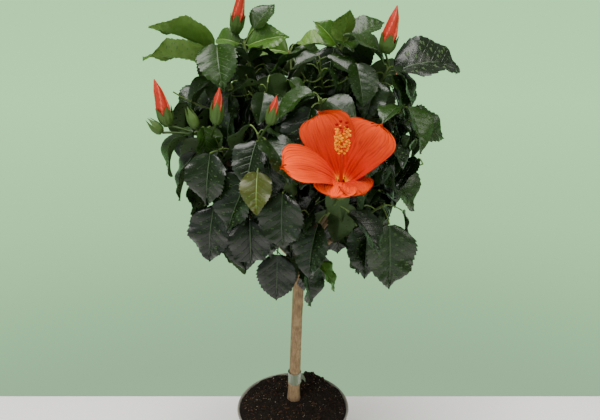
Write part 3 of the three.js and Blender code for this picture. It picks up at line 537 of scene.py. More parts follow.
def settle(wanted, mass, swing, shown=False, tries=LEAF["tries"], shared=CLAIM["shared"], apart=True,
           reach=1.0):
    """Tries the wanted pose, then turns to either side, lower and smaller."""
    for attempt in range(tries):
        turns = (attempt + 1) // 2 * (1 if attempt % 2 else -1)
        leaf = plan_leaf(wanted["root"], wanted["bearing"] + turns * swing,
                         max(wanted["rise"] - abs(turns) * LEAF["sag"], -82), wanted["roll"], wanted["arch"],
                         wanted["length"] * (1 - LEAF["shrink"] * attempt), wanted["stalk"],
                         wanted["stalk_rise"])
        middle, tip = on_leaf(leaf, [0, 0], [0.5, 1])
        if not shown and not (in_crown(middle, reach) and in_crown(tip, reach)):
            continue
        if not (in_own_room(middle, mass - 1) and in_own_room(tip, mass - 1)):
            continue
        blade = on_leaf(leaf, sample_across, sample_along)
        if filled[cells(blade, CLAIM["small_cube"])].mean() > shared:
            continue
        stalk = blend(leaf["root"], leaf["base"], np.array([[0.5], [0.75], [1.0]]))
        every = np.vstack([blade, stalk])
        if (apart and not clear_of_others(every, mass)) or not clear_of_limbs(every):
            continue
        claim(every, mass)
        leaf["shown"] = shown
        return leaf
    return None


print("widest place on a blade:", LEAF["widest"])

# %% [markdown]
# ## Side twigs and the leaves on them
#
# Leaves follow one another round a twig by 137.5 degrees, the golden turn, so no
# leaf stands right above another. The rule draws a few side twigs on every shoot
# and then deals out leaves from each tip inwards.

# %% Growing rules
def out_of(tangent, turn, spread):
    """A direction out of a twig: turn degrees round it and spread degrees from it."""
    level = np.cross(tangent, UP)
    level = np.array([1.0, 0.0, 0.0]) if np.linalg.norm(level) < 0.05 else unit(level)
    other = np.cross(level, tangent)
    around = level * math.cos(math.radians(turn)) + other * math.sin(math.radians(turn))
    return tangent * math.cos(math.radians(spread)) + around * math.sin(math.radians(spread))


def side_twigs(shoot, mass, draw):
    curve, twigs = curves[shoot["name"]], []
    for number in range(TWIG["count"]):
        share = 0.06 + 0.6 * number / TWIG["count"]
        at = blend(shoot["leaf_start"], 1, share)
        turn = shoot["seed"] * 40 + number * GOLDEN_TURN + 50 * (draw() - 0.5)
        reach = (curve.length * (1 - BOUGH["share"]) * TWIG["length"] * (1 - 0.35 * share)
                 * (0.85 + 0.3 * draw()))
        tangent, start = curve.tangent(at), curve.at(at)
        twig = Curve(start, start + out_of(tangent, turn, TWIG["spread"] + 16) * reach / 2,
                     start + out_of(tangent, turn, TWIG["spread"]) * reach)
        points = twig.at(np.arange(3, 13) / 12)
        if clear_of_others(points, mass) and clear_of_limbs(points):
            twigs.append(twig)
    return twigs


def draw_leaf(root, tangent, turn, age, draw):
    """The pose a leaf would like: the older, the larger, and the lower it hangs."""
    out = out_of(tangent, turn + 40 * (draw() - 0.5), 60)
    crown_side = np.array([root[0] - HEAD[0], root[1] - HEAD[1], 0.0])
    level = np.array([out[0], out[1], 0.0]) + unit(crown_side) * 0.55
    low = min(max((520 - root[2]) / 120, 0), 1)
    return dict(root=root, bearing=math.degrees(math.atan2(level[1], level[0])),
                rise=blend(4, -58, age) - 20 * low + 44 * (draw() - 0.5), roll=50 * (draw() - 0.5),
                arch=12 + 40 * draw(),
                length=LEAF["length"] * blend(LEAF["young"], 1, age) * (0.86 + 0.24 * draw()),
                stalk=LEAF["stalk"] * (0.5 + 0.7 * age) * (0.8 + 0.5 * draw()),
                stalk_rise=blend(45, -5, age) - 20 * low)


def deal_leaves(shoot, mass, axis, start, count, draw, size=1.0, **room):
    """Leaves along a stem or twig from its tip inwards. room loosens what settle asks for."""
    leaves = []
    for number in range(count):
        age = number / (count - 1)
        at = blend(0.99, start, age)
        turn = shoot["seed"] * 25 + number * GOLDEN_TURN
        wanted = draw_leaf(axis.at(at), axis.tangent(at), turn, age, draw)
        wanted["length"] *= size
        wanted["stalk"] *= size
        leaf = settle(wanted, mass, LEAF["swing"], **room)
        if leaf:
            leaves.append(dict(leaf, age=age))
    return leaves


# %% [markdown]
# ## Buds and the bloom keep their room
#
# The petals of a hibiscus leave the throat steeply and curl outwards. Their room
# is claimed first, together with the hollow in front of them, so that no leaf
# grows across the open flower.

# %% Room for buds and petals
def bloom_axes():
    forward = heading(*BLOOM["facing"])
    right = unit(np.cross(forward, UP))
    return forward, right, np.cross(right, forward)


def on_petal(throat, petal, across, along, lift=0.0, spare=0.0):
    """A place on a petal, from the throat to the edge. spare moves its shape for waves."""
    turn, tip_angle, length, width = petal
    forward, right, up = bloom_axes()
    across, along = np.asarray(across, float)[..., None], np.asarray(along, float)[..., None]
    lift = np.asarray(lift, float)[..., None] if np.ndim(lift) else lift
    spare = np.asarray(spare, float)[..., None] if np.ndim(spare) else spare
    out = up * math.cos(math.radians(turn)) + right * math.sin(math.radians(turn))
    flat = np.cross(out, forward)
    start = math.radians(BLOOM["base_angle"])
    sweep = math.radians(tip_angle) - start
    bend = start + sweep * along
    ahead = length / sweep * (np.sin(bend) - math.sin(start))
    outward = BLOOM["ring"] + length / sweep * (math.cos(start) - np.cos(bend))
    half = width / 2 * (0.12 + 0.91 * along ** 0.62) * np.clip(1 - along ** 7, 0, 1) ** 0.6
    shell = forward * np.sin(bend) - out * np.cos(bend)
    return (throat + forward * ahead + out * outward + flat * across * half
            + shell * (lift + spare + 0.12 * half * across ** 2 + 2.5 * across))


def bud_points(root, bud):
    """A bud's base, its direction and its length."""
    base = root + heading(*bud[1][:2]) * bud[1][2]
    return base, heading(*bud[2][:2]), bud[2][2]


forward, right, up = bloom_axes()
for mass, shoot in enumerate(SHOOTS, 1):
    curve, start = curves[shoot["name"]], shoot["leaf_start"]
    wood = []
    while start <= 1:
        wood.append(curve.at(start))
        start += 0.02
    claim(wood, mass)
    for bud in shoot.get("buds", ()):
        root = curve.at(bud[0])
        base, direction, length = bud_points(root, bud)
        shares = np.cumsum([0.0] + [0.1] * 10)
        shares = shares[shares <= 1][:, None]
        middle = base + direction * shares * length
        around = [middle + heading(turn, 0) * bud[3] for turn in (0, 90, 180, 270)]
        claim(np.vstack([middle, blend(root, base, shares), *around]), mass)
    if shoot.get("bloom"):
        throat = curve.at(1) + forward * BLOOM["tube"]
        rows, columns = np.arange(CLAIM["rows"] + 1), np.arange(-CLAIM["columns"], CLAIM["columns"] + 1)
        for petal in BLOOM["petals"]:
            for ahead in range(-BLOOM["tube"], 41, 8):
                some = rows[:3] if ahead < 0 else rows
                along, across = np.meshgrid(some / CLAIM["rows"], columns / CLAIM["columns"], indexing="ij")
                claim(on_petal(throat, petal, across, along) + forward * ahead, mass)

# %% Grow the crown
masses = []
for mass, shoot in enumerate(SHOOTS, 1):
    draw = seeded(shoot["seed"])
    twigs = [] if shoot.get("bloom") else side_twigs(shoot, mass, draw)
    for twig in twigs:
        claim(twig.at(np.arange(25) / 24), mass)
    masses.append(dict(shoot=shoot, number=mass, draw=draw, twigs=twigs, leaves=[]))
for grown in masses:
    curve = curves[grown["shoot"]["name"]]
    for at, bearing, rise, length, roll, arch, stalk in grown["shoot"].get("leaves", ()):
        wanted = dict(root=curve.at(at), bearing=bearing, rise=rise, roll=roll, arch=arch, length=length,
                      stalk=stalk, stalk_rise=rise if rise > 0 else rise / 3)
        leaf = settle(wanted, grown["number"], LEAF["placed_swing"], shown=True)
        if leaf:
            grown["leaves"].append(dict(leaf, age=1 - at))
for grown in masses:
    shoot, curve = grown["shoot"], curves[grown["shoot"]["name"]]
    count = BLOOM["leaves"] if shoot.get("bloom") else LEAF["on_stem"]
    start = blend(shoot["leaf_start"], 1, LEAF["stem_from"])
    grown["leaves"] += deal_leaves(shoot, grown["number"], curve, start, count, grown["draw"])
    for twig in grown["twigs"]:
        grown["leaves"] += deal_leaves(shoot, grown["number"], twig, LEAF["twig_from"], LEAF["on_twig"],
                                       grown["draw"])
print("leaves as in the CAD model:", sum(len(grown["leaves"]) for grown in masses))
print({grown["shoot"]["name"]: len(grown["leaves"]) for grown in masses})

# %% [markdown]
# ## Finer twigs and smaller leaves
#
# The CAD model stops at the larger leaves, because its solids have to stay light.
# A real shrub goes on: short sprigs leave every twig, and smaller leaves stand in
# the gaps between the large ones and close the crown from inside. They grow by
# the same rule, in the same room. They come last, so they take only the places
# that are still free, and they stay a little inside the crown's outline.

# %% Finer growth
FINER = dict(on_stem=16, on_twig=8, sprigs=3, sprig_length=0.55, spread=48, on_sprig=6, size=(0.5, 0.82),
             radius=0.9, tip_radius=0.6)
FINER_ROOM = dict(tries=5, shared=0.05, apart=False, reach=0.85)


def grow_sprigs(grown, draw):
    """Short side shoots of each twig."""
    sprigs = []
    for twig in grown["twigs"]:
        for number in range(FINER["sprigs"]):
            at = 0.3 + 0.6 * number / FINER["sprigs"]
            start, tangent = twig.at(at), twig.tangent(at)
            turn = number * GOLDEN_TURN + 90 * draw()
            reach = twig.length * FINER["sprig_length"] * (0.8 + 0.4 * draw())
            sprig = Curve(start, start + out_of(tangent, turn, FINER["spread"] + 14) * reach / 2,
                          start + out_of(tangent, turn, FINER["spread"]) * reach)
            if in_crown(sprig.end, FINER_ROOM["reach"]) and clear_of_limbs(sprig.at(np.arange(4, 9) / 8)):
                sprigs.append(sprig)
    return sprigs


for grown in masses:
    shoot, draw = grown["shoot"], seeded(grown["shoot"]["seed"] + 200)
    grown["sprigs"] = grow_sprigs(grown, draw)
    grown["finer"] = []
    if shoot.get("bloom"):
        continue
    axes = [(curves[shoot["name"]], blend(shoot["leaf_start"], 1, 0.1), FINER["on_stem"])]
    axes += [(twig, 0.25, FINER["on_twig"]) for twig in grown["twigs"]]
    axes += [(sprig, 0.3, FINER["on_sprig"]) for sprig in grown["sprigs"]]
    for axis, start, count in axes:
        grown["finer"] += deal_leaves(shoot, grown["number"], axis, start, count, draw,
                                      blend(*FINER["size"], draw()), **FINER_ROOM)
print("sprigs:", sum(len(grown["sprigs"]) for grown in masses),
      "smaller leaves:", sum(len(grown["finer"]) for grown in masses))

# %% [markdown]
# ## Tubes and roughness
#
# Stems, stalks and stamens are all tubes along a path. A frame of two directions
# is carried along the path without twisting, and a ring of points is set in it
# at every step. For bark and soil we also need an uneven surface. The function
# below gives each place in space a fixed random height, smooth from one cell to
# the next, which makes lumps of the size of a cell.

# %% Tubes and lumps
def frames_along(path):
    tangents = np.gradient(path, axis=0)
    tangents /= np.linalg.norm(tangents, axis=1, keepdims=True)
    side = np.cross(tangents[0], UP)
    side = np.array([1.0, 0.0, 0.0]) if np.linalg.norm(side) < 0.05 else side
    sides = []
    for tangent in tangents:
        side = unit(side - tangent * side.dot(tangent))
        sides.append(side)
    return tangents, np.array(sides), np.cross(tangents, sides)


def tube(path, radii, sides, number):
    """Sheets for a tube with a flat cap at each end. radii may differ round each ring."""
    path = np.asarray(path, float)
    radii = np.asarray(radii, float)
    radii = radii[:, None] if radii.ndim == 1 else radii
    tangents, first, second = frames_along(path)
    turn = np.arange(sides) * 2 * math.pi / sides
    ring = first[:, None] * np.cos(turn)[None, :, None] + second[:, None] * np.sin(turn)[None, :, None]
    points = path[:, None] + ring * radii[..., None]
    sheets = [(points, grid_faces(len(path), sides, closed=True), number, True)]
    around = np.arange(sides)
    fan = np.stack([around, (around + 1) % sides, np.full(sides, sides)], -1)
    for end, faces in ((0, fan[:, ::-1]), (-1, fan)):
        sheets.append((np.vstack([points[end], path[end]]), faces, number, False))
    return sheets


def lumps(points, cell, seed=0):
    """Smooth random heights from -1 to 1 for places in space, with lumps a cell apart."""
    points = np.asarray(points, float) / cell + seed * 17.3
    low = np.floor(points).astype(np.int64)
    part = points - low
    part = part * part * (3 - 2 * part)
    total = 0
    for corner in range(8):
        step = np.array([corner & 1, corner >> 1 & 1, corner >> 2 & 1])
        x, y, z = np.moveaxis(low + step, -1, 0)
        mixed = (x * 73856093 ^ y * 19349663 ^ z * 83492791) & 0xFFFFFF
        mixed = (mixed * 2654435761 >> 8) & 0xFFFF
        total = total + (mixed / 32767.5 - 1) * np.prod(np.where(step, part, 1 - part), axis=-1)
    return total


print("lumps from", round(float(lumps(np.random.default_rng(1).random((999, 3)) * 50, 7).min()), 2))

# %% [markdown]
# ## Bark of the stem and boughs
#
# Young hibiscus bark is thin and light tan, with fine cracks that run lengthwise
# and a raised scar wherever a leaf or a shoot once stood. Relief that can be seen
# in outline is made in the mesh: long low ridges, rings at the scars and an
# uneven girth. The fine cracks, about 1 mm apart, are a noise stretched along the
# stem that tints the bark and bumps it.

# %% Bark finish
bark_finish, tree, shader = new_finish("hibiscus bark", {"Roughness": 0.82, "Specular IOR Level": 0.3})
place = add_node(tree, "ShaderNodeTexCoord")
stretched = add_node(tree, "ShaderNodeMapping", {"Scale": (1, 1, 0.12)}, {"Vector": place.outputs["Object"]})
cracks = add_node(tree, "ShaderNodeTexNoise", {"Scale": 700, "Detail": 6, "Roughness": 0.65},
                  {"Vector": stretched.outputs[0]})
patches = add_node(tree, "ShaderNodeTexNoise", {"Scale": 90, "Detail": 3},
                   {"Vector": place.outputs["Object"]})
both = add_node(tree, "ShaderNodeMix", {"data_type": "FLOAT", 0: 0.45},
                {2: cracks.outputs["Fac"], 3: patches.outputs["Fac"]})
tint = add_node(tree, "ShaderNodeValToRGB", links={"Fac": both.outputs[0]})
for stop, colour in ((0.30, "#543e2f"), (0.45, "#80664c"), (0.6, "#9c8062"), (0.8, "#b39b7c")):
    tint.color_ramp.elements.new(stop).color = linear(colour)
tint.color_ramp.elements.remove(tint.color_ramp.elements[0])
tint.color_ramp.elements.remove(tint.color_ramp.elements[-1])
bump = add_node(tree, "ShaderNodeBump", {"Strength": 0.5, "Distance": 0.0006},
                {"Height": cracks.outputs["Fac"]})
tree.links.new(tint.outputs["Color"], shader.inputs["Base Color"])
tree.links.new(bump.outputs["Normal"], shader.inputs["Normal"])

# %% Stem
STEM_SIDES, STEM_ROWS = 72, 260
scar_levels = (172, 232, 251, 268, 305, 338, 362)
scar_turns = (200, 300, 250, 285, 60, 170, 320)


def stem_rings():
    levels = np.linspace(STEM_FOOT - 4, STEM["head"] + 5, STEM_ROWS)
    path = np.array([stem_point(level) for level in levels])
    turn = np.arange(STEM_SIDES) * 2 * math.pi / STEM_SIDES
    radii = np.array([stem_radius(max(level, STEM_FOOT)) for level in levels])[:, None] + np.zeros(STEM_SIDES)
    around = np.stack(np.broadcast_arrays(np.cos(turn) * 9, np.sin(turn) * 9, levels[:, None]), -1)
    radii += 0.35 * lumps(around * (1, 1, 0.12), 3.1) + 0.5 * lumps(around * (1, 1, 0.5), 17, 3) - 0.35
    for level, bearing in zip(scar_levels, scar_turns):
        aside = np.cos(turn - math.radians(bearing))
        radii += 0.9 * np.exp(-((levels[:, None] - level) / 2.2) ** 2) * np.clip(aside, 0, 1) ** 1.5
        radii -= 0.5 * np.exp(-((levels[:, None] - level - 3.5) / 1.4) ** 2) * np.clip(aside, 0, 1) ** 2
    dome = np.clip((levels - STEM["head"] + 4) / 9, 0, 1)[:, None]
    return path, radii * np.sqrt(1 - dome ** 2 * 0.97)


bark_sheets = tube(*stem_rings(), STEM_SIDES, 0)
for shoot in SHOOTS:
    curve = curves[shoot["name"]]
    share = np.linspace(0.0, BOUGH["share"], 26)
    path = curve.at(share)
    radii = np.array([shoot_radius(shoot, at) for at in share])[:, None] + np.zeros(14)
    radii += 0.9 * np.exp(-share[:, None] * curve.length / 14)
    radii += 0.22 * lumps(path[:, None] + np.arange(14)[None, :, None], 4.3, 5)
    bark_sheets += tube(path, radii, 14, 0)
stem_bark = make_piece("stem_and_bough_bark", bark_sheets, [bark_finish])
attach(stem_bark, "root")
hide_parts("stem", *["bough_" + shoot["name"] for shoot in SHOOTS])

# %% [markdown]
# ## Hibiscus leaf
#
# The blade is thin, under a millimetre, with a coat of wax that makes its top
# glossy and nearly black-green with age. The underside has no such wax: it is
# paler and dull. Young leaves are yellow-green and soften as they age. Each leaf
# here is a real thin sheet with a top, an underside and a narrow rim, so both
# sides can have their own finish. All of them are plain colours dealt out leaf by
# leaf, so they stay right on a mesh that is joined from hundreds of leaves. The
# blade is blistered between its smallest veins, about 5 mm apart, and a bump of
# that size breaks the shine up as living leaves do.

# %% Leaf finishes
# The greens run from darkest to lightest, then a yellowing one. The two darkest are deepened past an old
# leaf's own green as painted shade, for the shade between the leaves inside and low in the crown.
LEAF_TOPS = ("#0b1408", "#101d09", "#17290c", "#20380f", "#3a5c18", "#59792f", "#3e440f")
YOUNG, YELLOWING = 4, 6
LEAF_UNDERSIDES = ("#354a24", "#56742c")
VEINS = ("#34472a", "#6f8a3f")


def leaf_finish(name, colour, roughness, coat, bump_height):
    finish, tree, shader = new_finish(name, {
        "Base Color": linear(colour), "Roughness": roughness, "Specular IOR Level": 0.31, "Coat Weight": coat,
        "Coat Roughness": 0.2})
    blisters = add_node(tree, "ShaderNodeTexNoise", {"Scale": 190, "Detail": 4, "Roughness": 0.55})
    bump = add_node(tree, "ShaderNodeBump", {"Strength": 0.5, "Distance": bump_height},
                    {"Height": blisters.outputs["Fac"]})
    tree.links.new(bump.outputs["Normal"], shader.inputs["Normal"])
    return finish


leaf_finishes = [leaf_finish(f"waxy leaf top {number}", colour, 0.2 + 0.02 * number, 0.1, 0.0007)
                 for number, colour in enumerate(LEAF_TOPS)]
leaf_finishes += [leaf_finish(f"dull leaf underside {number}", colour, 0.6, 0.0, 0.0016)
                  for number, colour in enumerate(LEAF_UNDERSIDES)]
leaf_finishes += [leaf_finish(f"leaf vein {number}", colour, 0.45, 0.1, 0.0004)
                  for number, colour in enumerate(VEINS)]
UNDERSIDE, VEIN = len(LEAF_TOPS), len(LEAF_TOPS) + len(LEAF_UNDERSIDES)
print("leaf finishes:", len(leaf_finishes))

# %% [markdown]
# ## The blade's own shape
#
# What makes a hibiscus leaf read as one is its toothed edge, its drawn-out tip,
# its wavy margin and the way the blade swells between the side veins. The blade
# is a grid. Each point starts on the plan's surface and is then lifted by the
# waves and the swelling, and points on the edge step outwards for each tooth.
# Three rows go to a tooth: its foot, its slope and its point. The midrib is the
# slim middle column of the grid, with the paler finish of a vein. The side veins
# are slim ribbons that lie just above the top. The smaller leaves get the same
# shape on a coarser grid and without side veins.

# %% Blade of one leaf
BLADE_THICKNESS = 0.5
SWELL, CRUMPLE, CRUMPLE_CELL = 2.6, 2.4, 11
TEETH = 11
SIDE_VEINS = 5
VEIN_WIDTH, VEIN_RISE = 0.8, 0.3
TOOTH_FROM, TOOTH_TO = 0.17, 0.965


def tooth_rows(teeth, parts):
    """Places along a blade, with some rows to each tooth."""
    pitch = (TOOTH_TO - TOOTH_FROM) / teeth
    return np.array([0.012, 0.05, 0.11] + [TOOTH_FROM + pitch * (number + part) for number in range(teeth)
                                           for part in parts] + [0.968, 0.988])


GRIDS = {True: (TEETH, tooth_rows(TEETH, (0.02, 0.5, 0.95)),
                np.array([-1, -0.86, -0.62, -0.36, -0.15, -0.024, 0.024, 0.15, 0.36, 0.62, 0.86, 1])),
         False: (8, tooth_rows(8, (0.02, 0.95)), np.array([-1, -0.7, -0.34, -0.03, 0.03, 0.34, 0.7, 1]))}


def smooth_step(value, low, high):
    share = np.clip((value - low) / (high - low), 0, 1)
    return share * share * (3 - 2 * share)


def blade_lift(leaf, look, across, along):
    """How far folds, waves, swelling and a drooping tip lift the blade, in mm."""
    size = leaf["length"] / LEAF["length"]
    half = leaf["width"] / 2 * leaf_outline(along)
    vein = (along * leaf["length"] - 0.75 * np.abs(across) * half) / (leaf["length"] / (SIDE_VEINS + 1.5))
    swell = SWELL * np.sin(math.pi * vein) ** 2 * np.minimum(1, 4 * np.abs(across)) * (1 - across ** 4)
    start = np.where(across > 0, look["left"], look["right"])
    wave = look["wave"] * np.sin(2 * math.pi * (along * look["waves"] + start))
    place = np.stack([across * half, along * leaf["length"], 0 * across + look["left"] * 900], -1)
    crumple = CRUMPLE * lumps(place, CRUMPLE_CELL) * (0.25 + np.abs(across))
    return (size * (swell + wave * across ** 2 - look["droop"] * along ** 4 + crumple)
            + np.abs(across) * half * look["fold"] - look["curl"] * size * across ** 4)


def on_blade(leaf, look, across, along, lift=0.0, teeth=TEETH):
    """A place on the finished blade."""
    slim = 1 - look["tip"] * smooth_step(along, 0.66, 0.93)
    point = on_leaf(leaf, across * slim, along, blade_lift(leaf, look, across, along) + lift)
    point = point + leaf["side"] * (look["sway"] * along ** 2)[..., None]
    tooth = np.mod((along - TOOTH_FROM) * teeth / (TOOTH_TO - TOOTH_FROM), 1)
    tooth = np.where((np.abs(across) > 0.99) & (along > TOOTH_FROM) & (along < TOOTH_TO), tooth, 0)
    step = np.sign(across) * tooth * look["teeth"] * leaf["length"] * leaf_outline(along) ** 0.5
    return point + leaf["side"] * step[..., None]


def leaf_look(draw):
    return dict(wave=1.6 + 3.2 * draw(), waves=1.3 + 1.5 * draw(), left=draw(), right=draw(),
                droop=1 + 9 * draw(), sway=9 * (draw() - 0.5), fold=0.02 + 0.26 * draw(), curl=3 * draw(),
                tip=0.15 + 0.4 * draw(), teeth=0.026 + 0.012 * draw())


def leaf_sheets(leaf, draw, full=True):
    """The top, underside, rim and veins of one leaf."""
    look, shade = leaf_look(draw), leaf["shade"]
    teeth, rows, columns = GRIDS[full]
    along, across = np.meshgrid(rows, columns, indexing="ij")
    top = on_blade(leaf, look, across, along, BLADE_THICKNESS / 2, teeth)
    under = on_blade(leaf, look, across, along, -BLADE_THICKNESS / 2, teeth)
    young = int(shade >= YOUNG)
    faces = grid_faces(len(rows), len(columns))
    is_midrib = faces[:, 0] % len(columns) == len(columns) // 2 - 1
    sheets = [(top, faces[~is_midrib], shade, True), (top, faces[is_midrib], VEIN + young, True),
              (under, faces[:, ::-1], UNDERSIDE + young, True)]
    edge = [(slice(None), 0), (-1, slice(1, None)), (slice(-2, None, -1), -1), (0, slice(-2, 0, -1))]
    upper = np.vstack([top[part].reshape(-1, 3) for part in edge])
    lower = np.vstack([under[part].reshape(-1, 3) for part in edge])
    count = len(upper)
    here, after = np.arange(count), (np.arange(count) + 1) % count
    rim = np.stack([here, here + count, after + count, after], -1)
    sheets.append((np.vstack([upper, lower]), rim, shade, False))
    spacing = 1 / (SIDE_VEINS + 1.5)
    for number in range(1, SIDE_VEINS + 1) if full else ():
        for side in (-1, 1):
            across = side * np.linspace(0.03, 0.84, 16)
            along = number * spacing + 0.0 * across
            for _ in range(4):
                reach = np.abs(across) * leaf["width"] / 2 * leaf_outline(along) / leaf["length"]
                along = number * spacing + 0.75 * reach
            if along[-1] < 0.95:
                middle = on_grid(top, rows, columns, along, across) + leaf["normal"] * VEIN_RISE
                sheets.append(vein_ribbon(leaf, middle, min(shade + 1, YOUNG)))
    return sheets


def on_grid(points, rows, columns, along, across):
    """Places on the faces of a grid. Each face is two triangles that meet on its diagonal."""
    row = np.clip(np.searchsorted(rows, along) - 1, 0, len(rows) - 2)
    column = np.clip(np.searchsorted(columns, across) - 1, 0, len(columns) - 2)
    ahead = ((along - rows[row]) / (rows[row + 1] - rows[row]))[:, None]
    aside = ((across - columns[column]) / (columns[column + 1] - columns[column]))[:, None]
    near, far = points[row, column], points[row + 1, column + 1]
    beside, beyond = points[row, column + 1], points[row + 1, column]
    return np.where(aside >= ahead, near + aside * (beside - near) + ahead * (far - beside),
                    near + ahead * (beyond - near) + aside * (far - beyond))


def vein_ribbon(leaf, middle, number):
    """A slim ribbon that follows a vein just above the top and thins to its end."""
    ahead = np.gradient(middle, axis=0)
    aside = np.cross(ahead, leaf["normal"])
    aside /= np.linalg.norm(aside, axis=1, keepdims=True)
    half = VEIN_WIDTH / 2 * np.linspace(1, 0.35, len(middle))[:, None] * leaf["length"] / LEAF["length"]
    points = np.stack([middle + aside * half, middle - aside * half], 1)
    return points, grid_faces(len(middle), 2), number, True


def stalk_path(leaf):
    share = np.linspace(0, 1, 6)[:, None]
    return blend(leaf["root"], leaf["base"], share) + UP * 4 * share * (1 - share) * 2.5


for full, (teeth, rows, columns) in GRIDS.items():
    count = (len(rows) - 1) * (len(columns) - 1) * 4
    print("full" if full else "smaller", "leaf:", count, "triangles in its faces")

# %% [markdown]
# ## Deal out the greens
#
# On the real shrub the newest leaves at the tips are the lightest, and the rest
# darken as they grow. The greens are also lighter towards the top of the crown
# and darker towards its foot: painted light and shade for the light that falls
# from above. Chance moves each leaf a shade either way, and the leaves with a set
# place have a set shade, from 0, the darkest, to 5, the lightest. A set shade
# holds painted light and shade for how lit that leaf is, as well as its own green.
# One old leaf is turning yellow.
# The leaves are joined by the side of the crown they hang on, so that no piece
# grows too heavy for the library.

# %% Shades
# The set shades are partly painted light and shade: each is set to how lit or shaded that leaf is, as well as
# to its own green.
SET_SHADES = dict(bloom=(1, 1), front=(2, YELLOWING), upper_front=(1, 3), upper_left=(5, 4, 2),
                  top_left=(3, 4, 4, 3), top=(4, 5, 4, 3), upper_right=(1, 3, 3, 2), left=(3, 1),
                  right=(3, 3), lower_left=(0, 0, 0), low_front=(0, 1, 4), lower_right=(2, 1, 1),
                  back=(4, 3))
looks = seeded(5)


def shade_of(leaf):
    """A darker green with age, and painted light and shade: lighter high in the crown, darker towards its
    foot.
    """
    youth = 1 - leaf["age"]
    height = (leaf["base"][2] - CROWN["centre"][2]) / CROWN["half_height"]
    # The height term is painted light and shade: lighter greens high in the crown, darker low in it.
    shade = 0.5 + 1.6 * youth ** 2 + 0.7 * height + 2.0 * (looks() - 0.5)
    return int(min(max(round(shade), 0), YOUNG))


for grown in masses:
    set_shades = list(SET_SHADES.get(grown["shoot"]["name"], ()))
    for leaf in grown["leaves"] + grown["finer"]:
        leaf["shade"] = set_shades.pop(0) if leaf["shown"] and set_shades else shade_of(leaf)
every_leaf = [leaf for grown in masses for leaf in grown["leaves"] + grown["finer"]]
print("leaves of each shade:",
      [sum(leaf["shade"] == shade for leaf in every_leaf) for shade in range(len(LEAF_TOPS))])

# %% Leaves
SIDES_OF_CROWN = {
    "front": ("front", "upper_front", "bloom"),
    "low": ("low_front", "lower_left", "lower_right", "back_low_left", "back_low_right"),
    "left": ("left", "upper_left", "top_left"),
    "right": ("right", "upper_right", "top"),
    "back": ("back", "back_left", "back_right"),
}
grown_by_name = {grown["shoot"]["name"]: grown for grown in masses}
for side, names in SIDES_OF_CROWN.items():
    sheets = []
    for name in names:
        for leaf in grown_by_name[name]["leaves"]:
            sheets += leaf_sheets(leaf, looks)
        for leaf in grown_by_name[name]["finer"]:
            sheets += leaf_sheets(leaf, looks, full=False)
    leaves = make_piece(f"leaves_{side}", sheets, leaf_finishes)
    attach(leaves, "root")
    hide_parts(*["foliage_" + name for name in names if name != "bloom"])

# %% [markdown]
# ## Twigs and stalks
#
# The first stretch of a twig is already brown. The end that grew this year is
# green, as are the leaf stalks.

# %% Twigs
twig_finish, tree, shader = new_finish("brown twig", {
    "Base Color": linear("#54442f"), "Roughness": 0.75, "Specular IOR Level": 0.3})
green_twig_finish, tree, shader = new_finish("green twig", {
    "Base Color": linear("#4a5c28"), "Roughness": 0.5, "Specular IOR Level": 0.4})
stalk_finish, tree, shader = new_finish("leaf stalk", {
    "Base Color": linear("#5d7436"), "Roughness": 0.45, "Specular IOR Level": 0.4})
twig_sheets = []
for grown in masses:
    shoot, curve = grown["shoot"], curves[grown["shoot"]["name"]]
    for start, end, number in ((BOUGH["share"] - 0.02, 0.72, 0), (0.71, 1.0, 1)):
        share = np.linspace(start, end, 12)
        radii = [shoot_radius(shoot, at) + 0.1 * math.sin(40 * at) for at in share]
        twig_sheets += tube(curve.at(share), radii, 9, number)
    for twig in grown["twigs"]:
        for start, end, number in ((0.0, 0.45, 0), (0.44, 1.0, 1)):
            share = np.linspace(start, end, 9)
            twig_sheets += tube(twig.at(share), blend(TWIG["radius"], TWIG["tip_radius"], share), 7, number)
    for sprig in grown["sprigs"]:
        share = np.linspace(0, 1, 8)
        twig_sheets += tube(sprig.at(share), blend(FINER["radius"], FINER["tip_radius"], share), 6, 1)
    for leaf in grown["leaves"]:
        radii = LEAF["stalk_radius"] * np.array([1.5, 1.0, 0.95, 0.95, 1.0, 1.25]) * 0.9
        twig_sheets += tube(stalk_path(leaf), radii, 6, 2)
    for leaf in grown["finer"]:
        twig_sheets += tube(stalk_path(leaf)[[0, 2, 3, 5]], [0.8, 0.6, 0.6, 0.7], 5, 2)
twigs_piece = make_piece("twigs_and_stalks", twig_sheets, [twig_finish, green_twig_finish, stalk_finish])
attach(twigs_piece, "root")
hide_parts(*["foliage_" + shoot["name"] for shoot in SHOOTS if not shoot.get("bloom")], "bloom")

# %% [markdown]
# ## The open bloom
#
# A hibiscus flower has five broad petals that overlap like a fan. They are as
# thin as tissue, soft and without gloss, and fine veins run out from the throat
# and pucker them. Their edge is ruffled. The colour is a warm orange that
# deepens to red in the throat. Each petal is a fine grid, and how far a point
# lies from the throat is kept with the mesh as a number that the finish turns
# into the colour.

# %% Petal finish
petal_finish, tree, shader = new_finish("hibiscus petal", {
    "Roughness": 0.7, "Specular IOR Level": 0.08})
# The third number kept with the mesh is painted light on the petals.
from_throat, on_vein, painted_light = [add_node(tree, "ShaderNodeAttribute", {"attribute_name": name})
                              for name in ("from_throat", "on_vein", "painted_light")]
depth = add_node(tree, "ShaderNodeValToRGB", links={"Fac": from_throat.outputs["Fac"]})
for stop, colour in ((0.03, "#f09a1c"), (0.09, "#d2400e"), (0.16, "#c01604"), (0.34, "#b41a02"),
                     (0.62, "#a42402"), (0.97, "#b43404")):
    depth.color_ramp.elements.new(stop).color = linear(colour)
depth.color_ramp.elements.remove(depth.color_ramp.elements[0])
depth.color_ramp.elements.remove(depth.color_ramp.elements[-1])
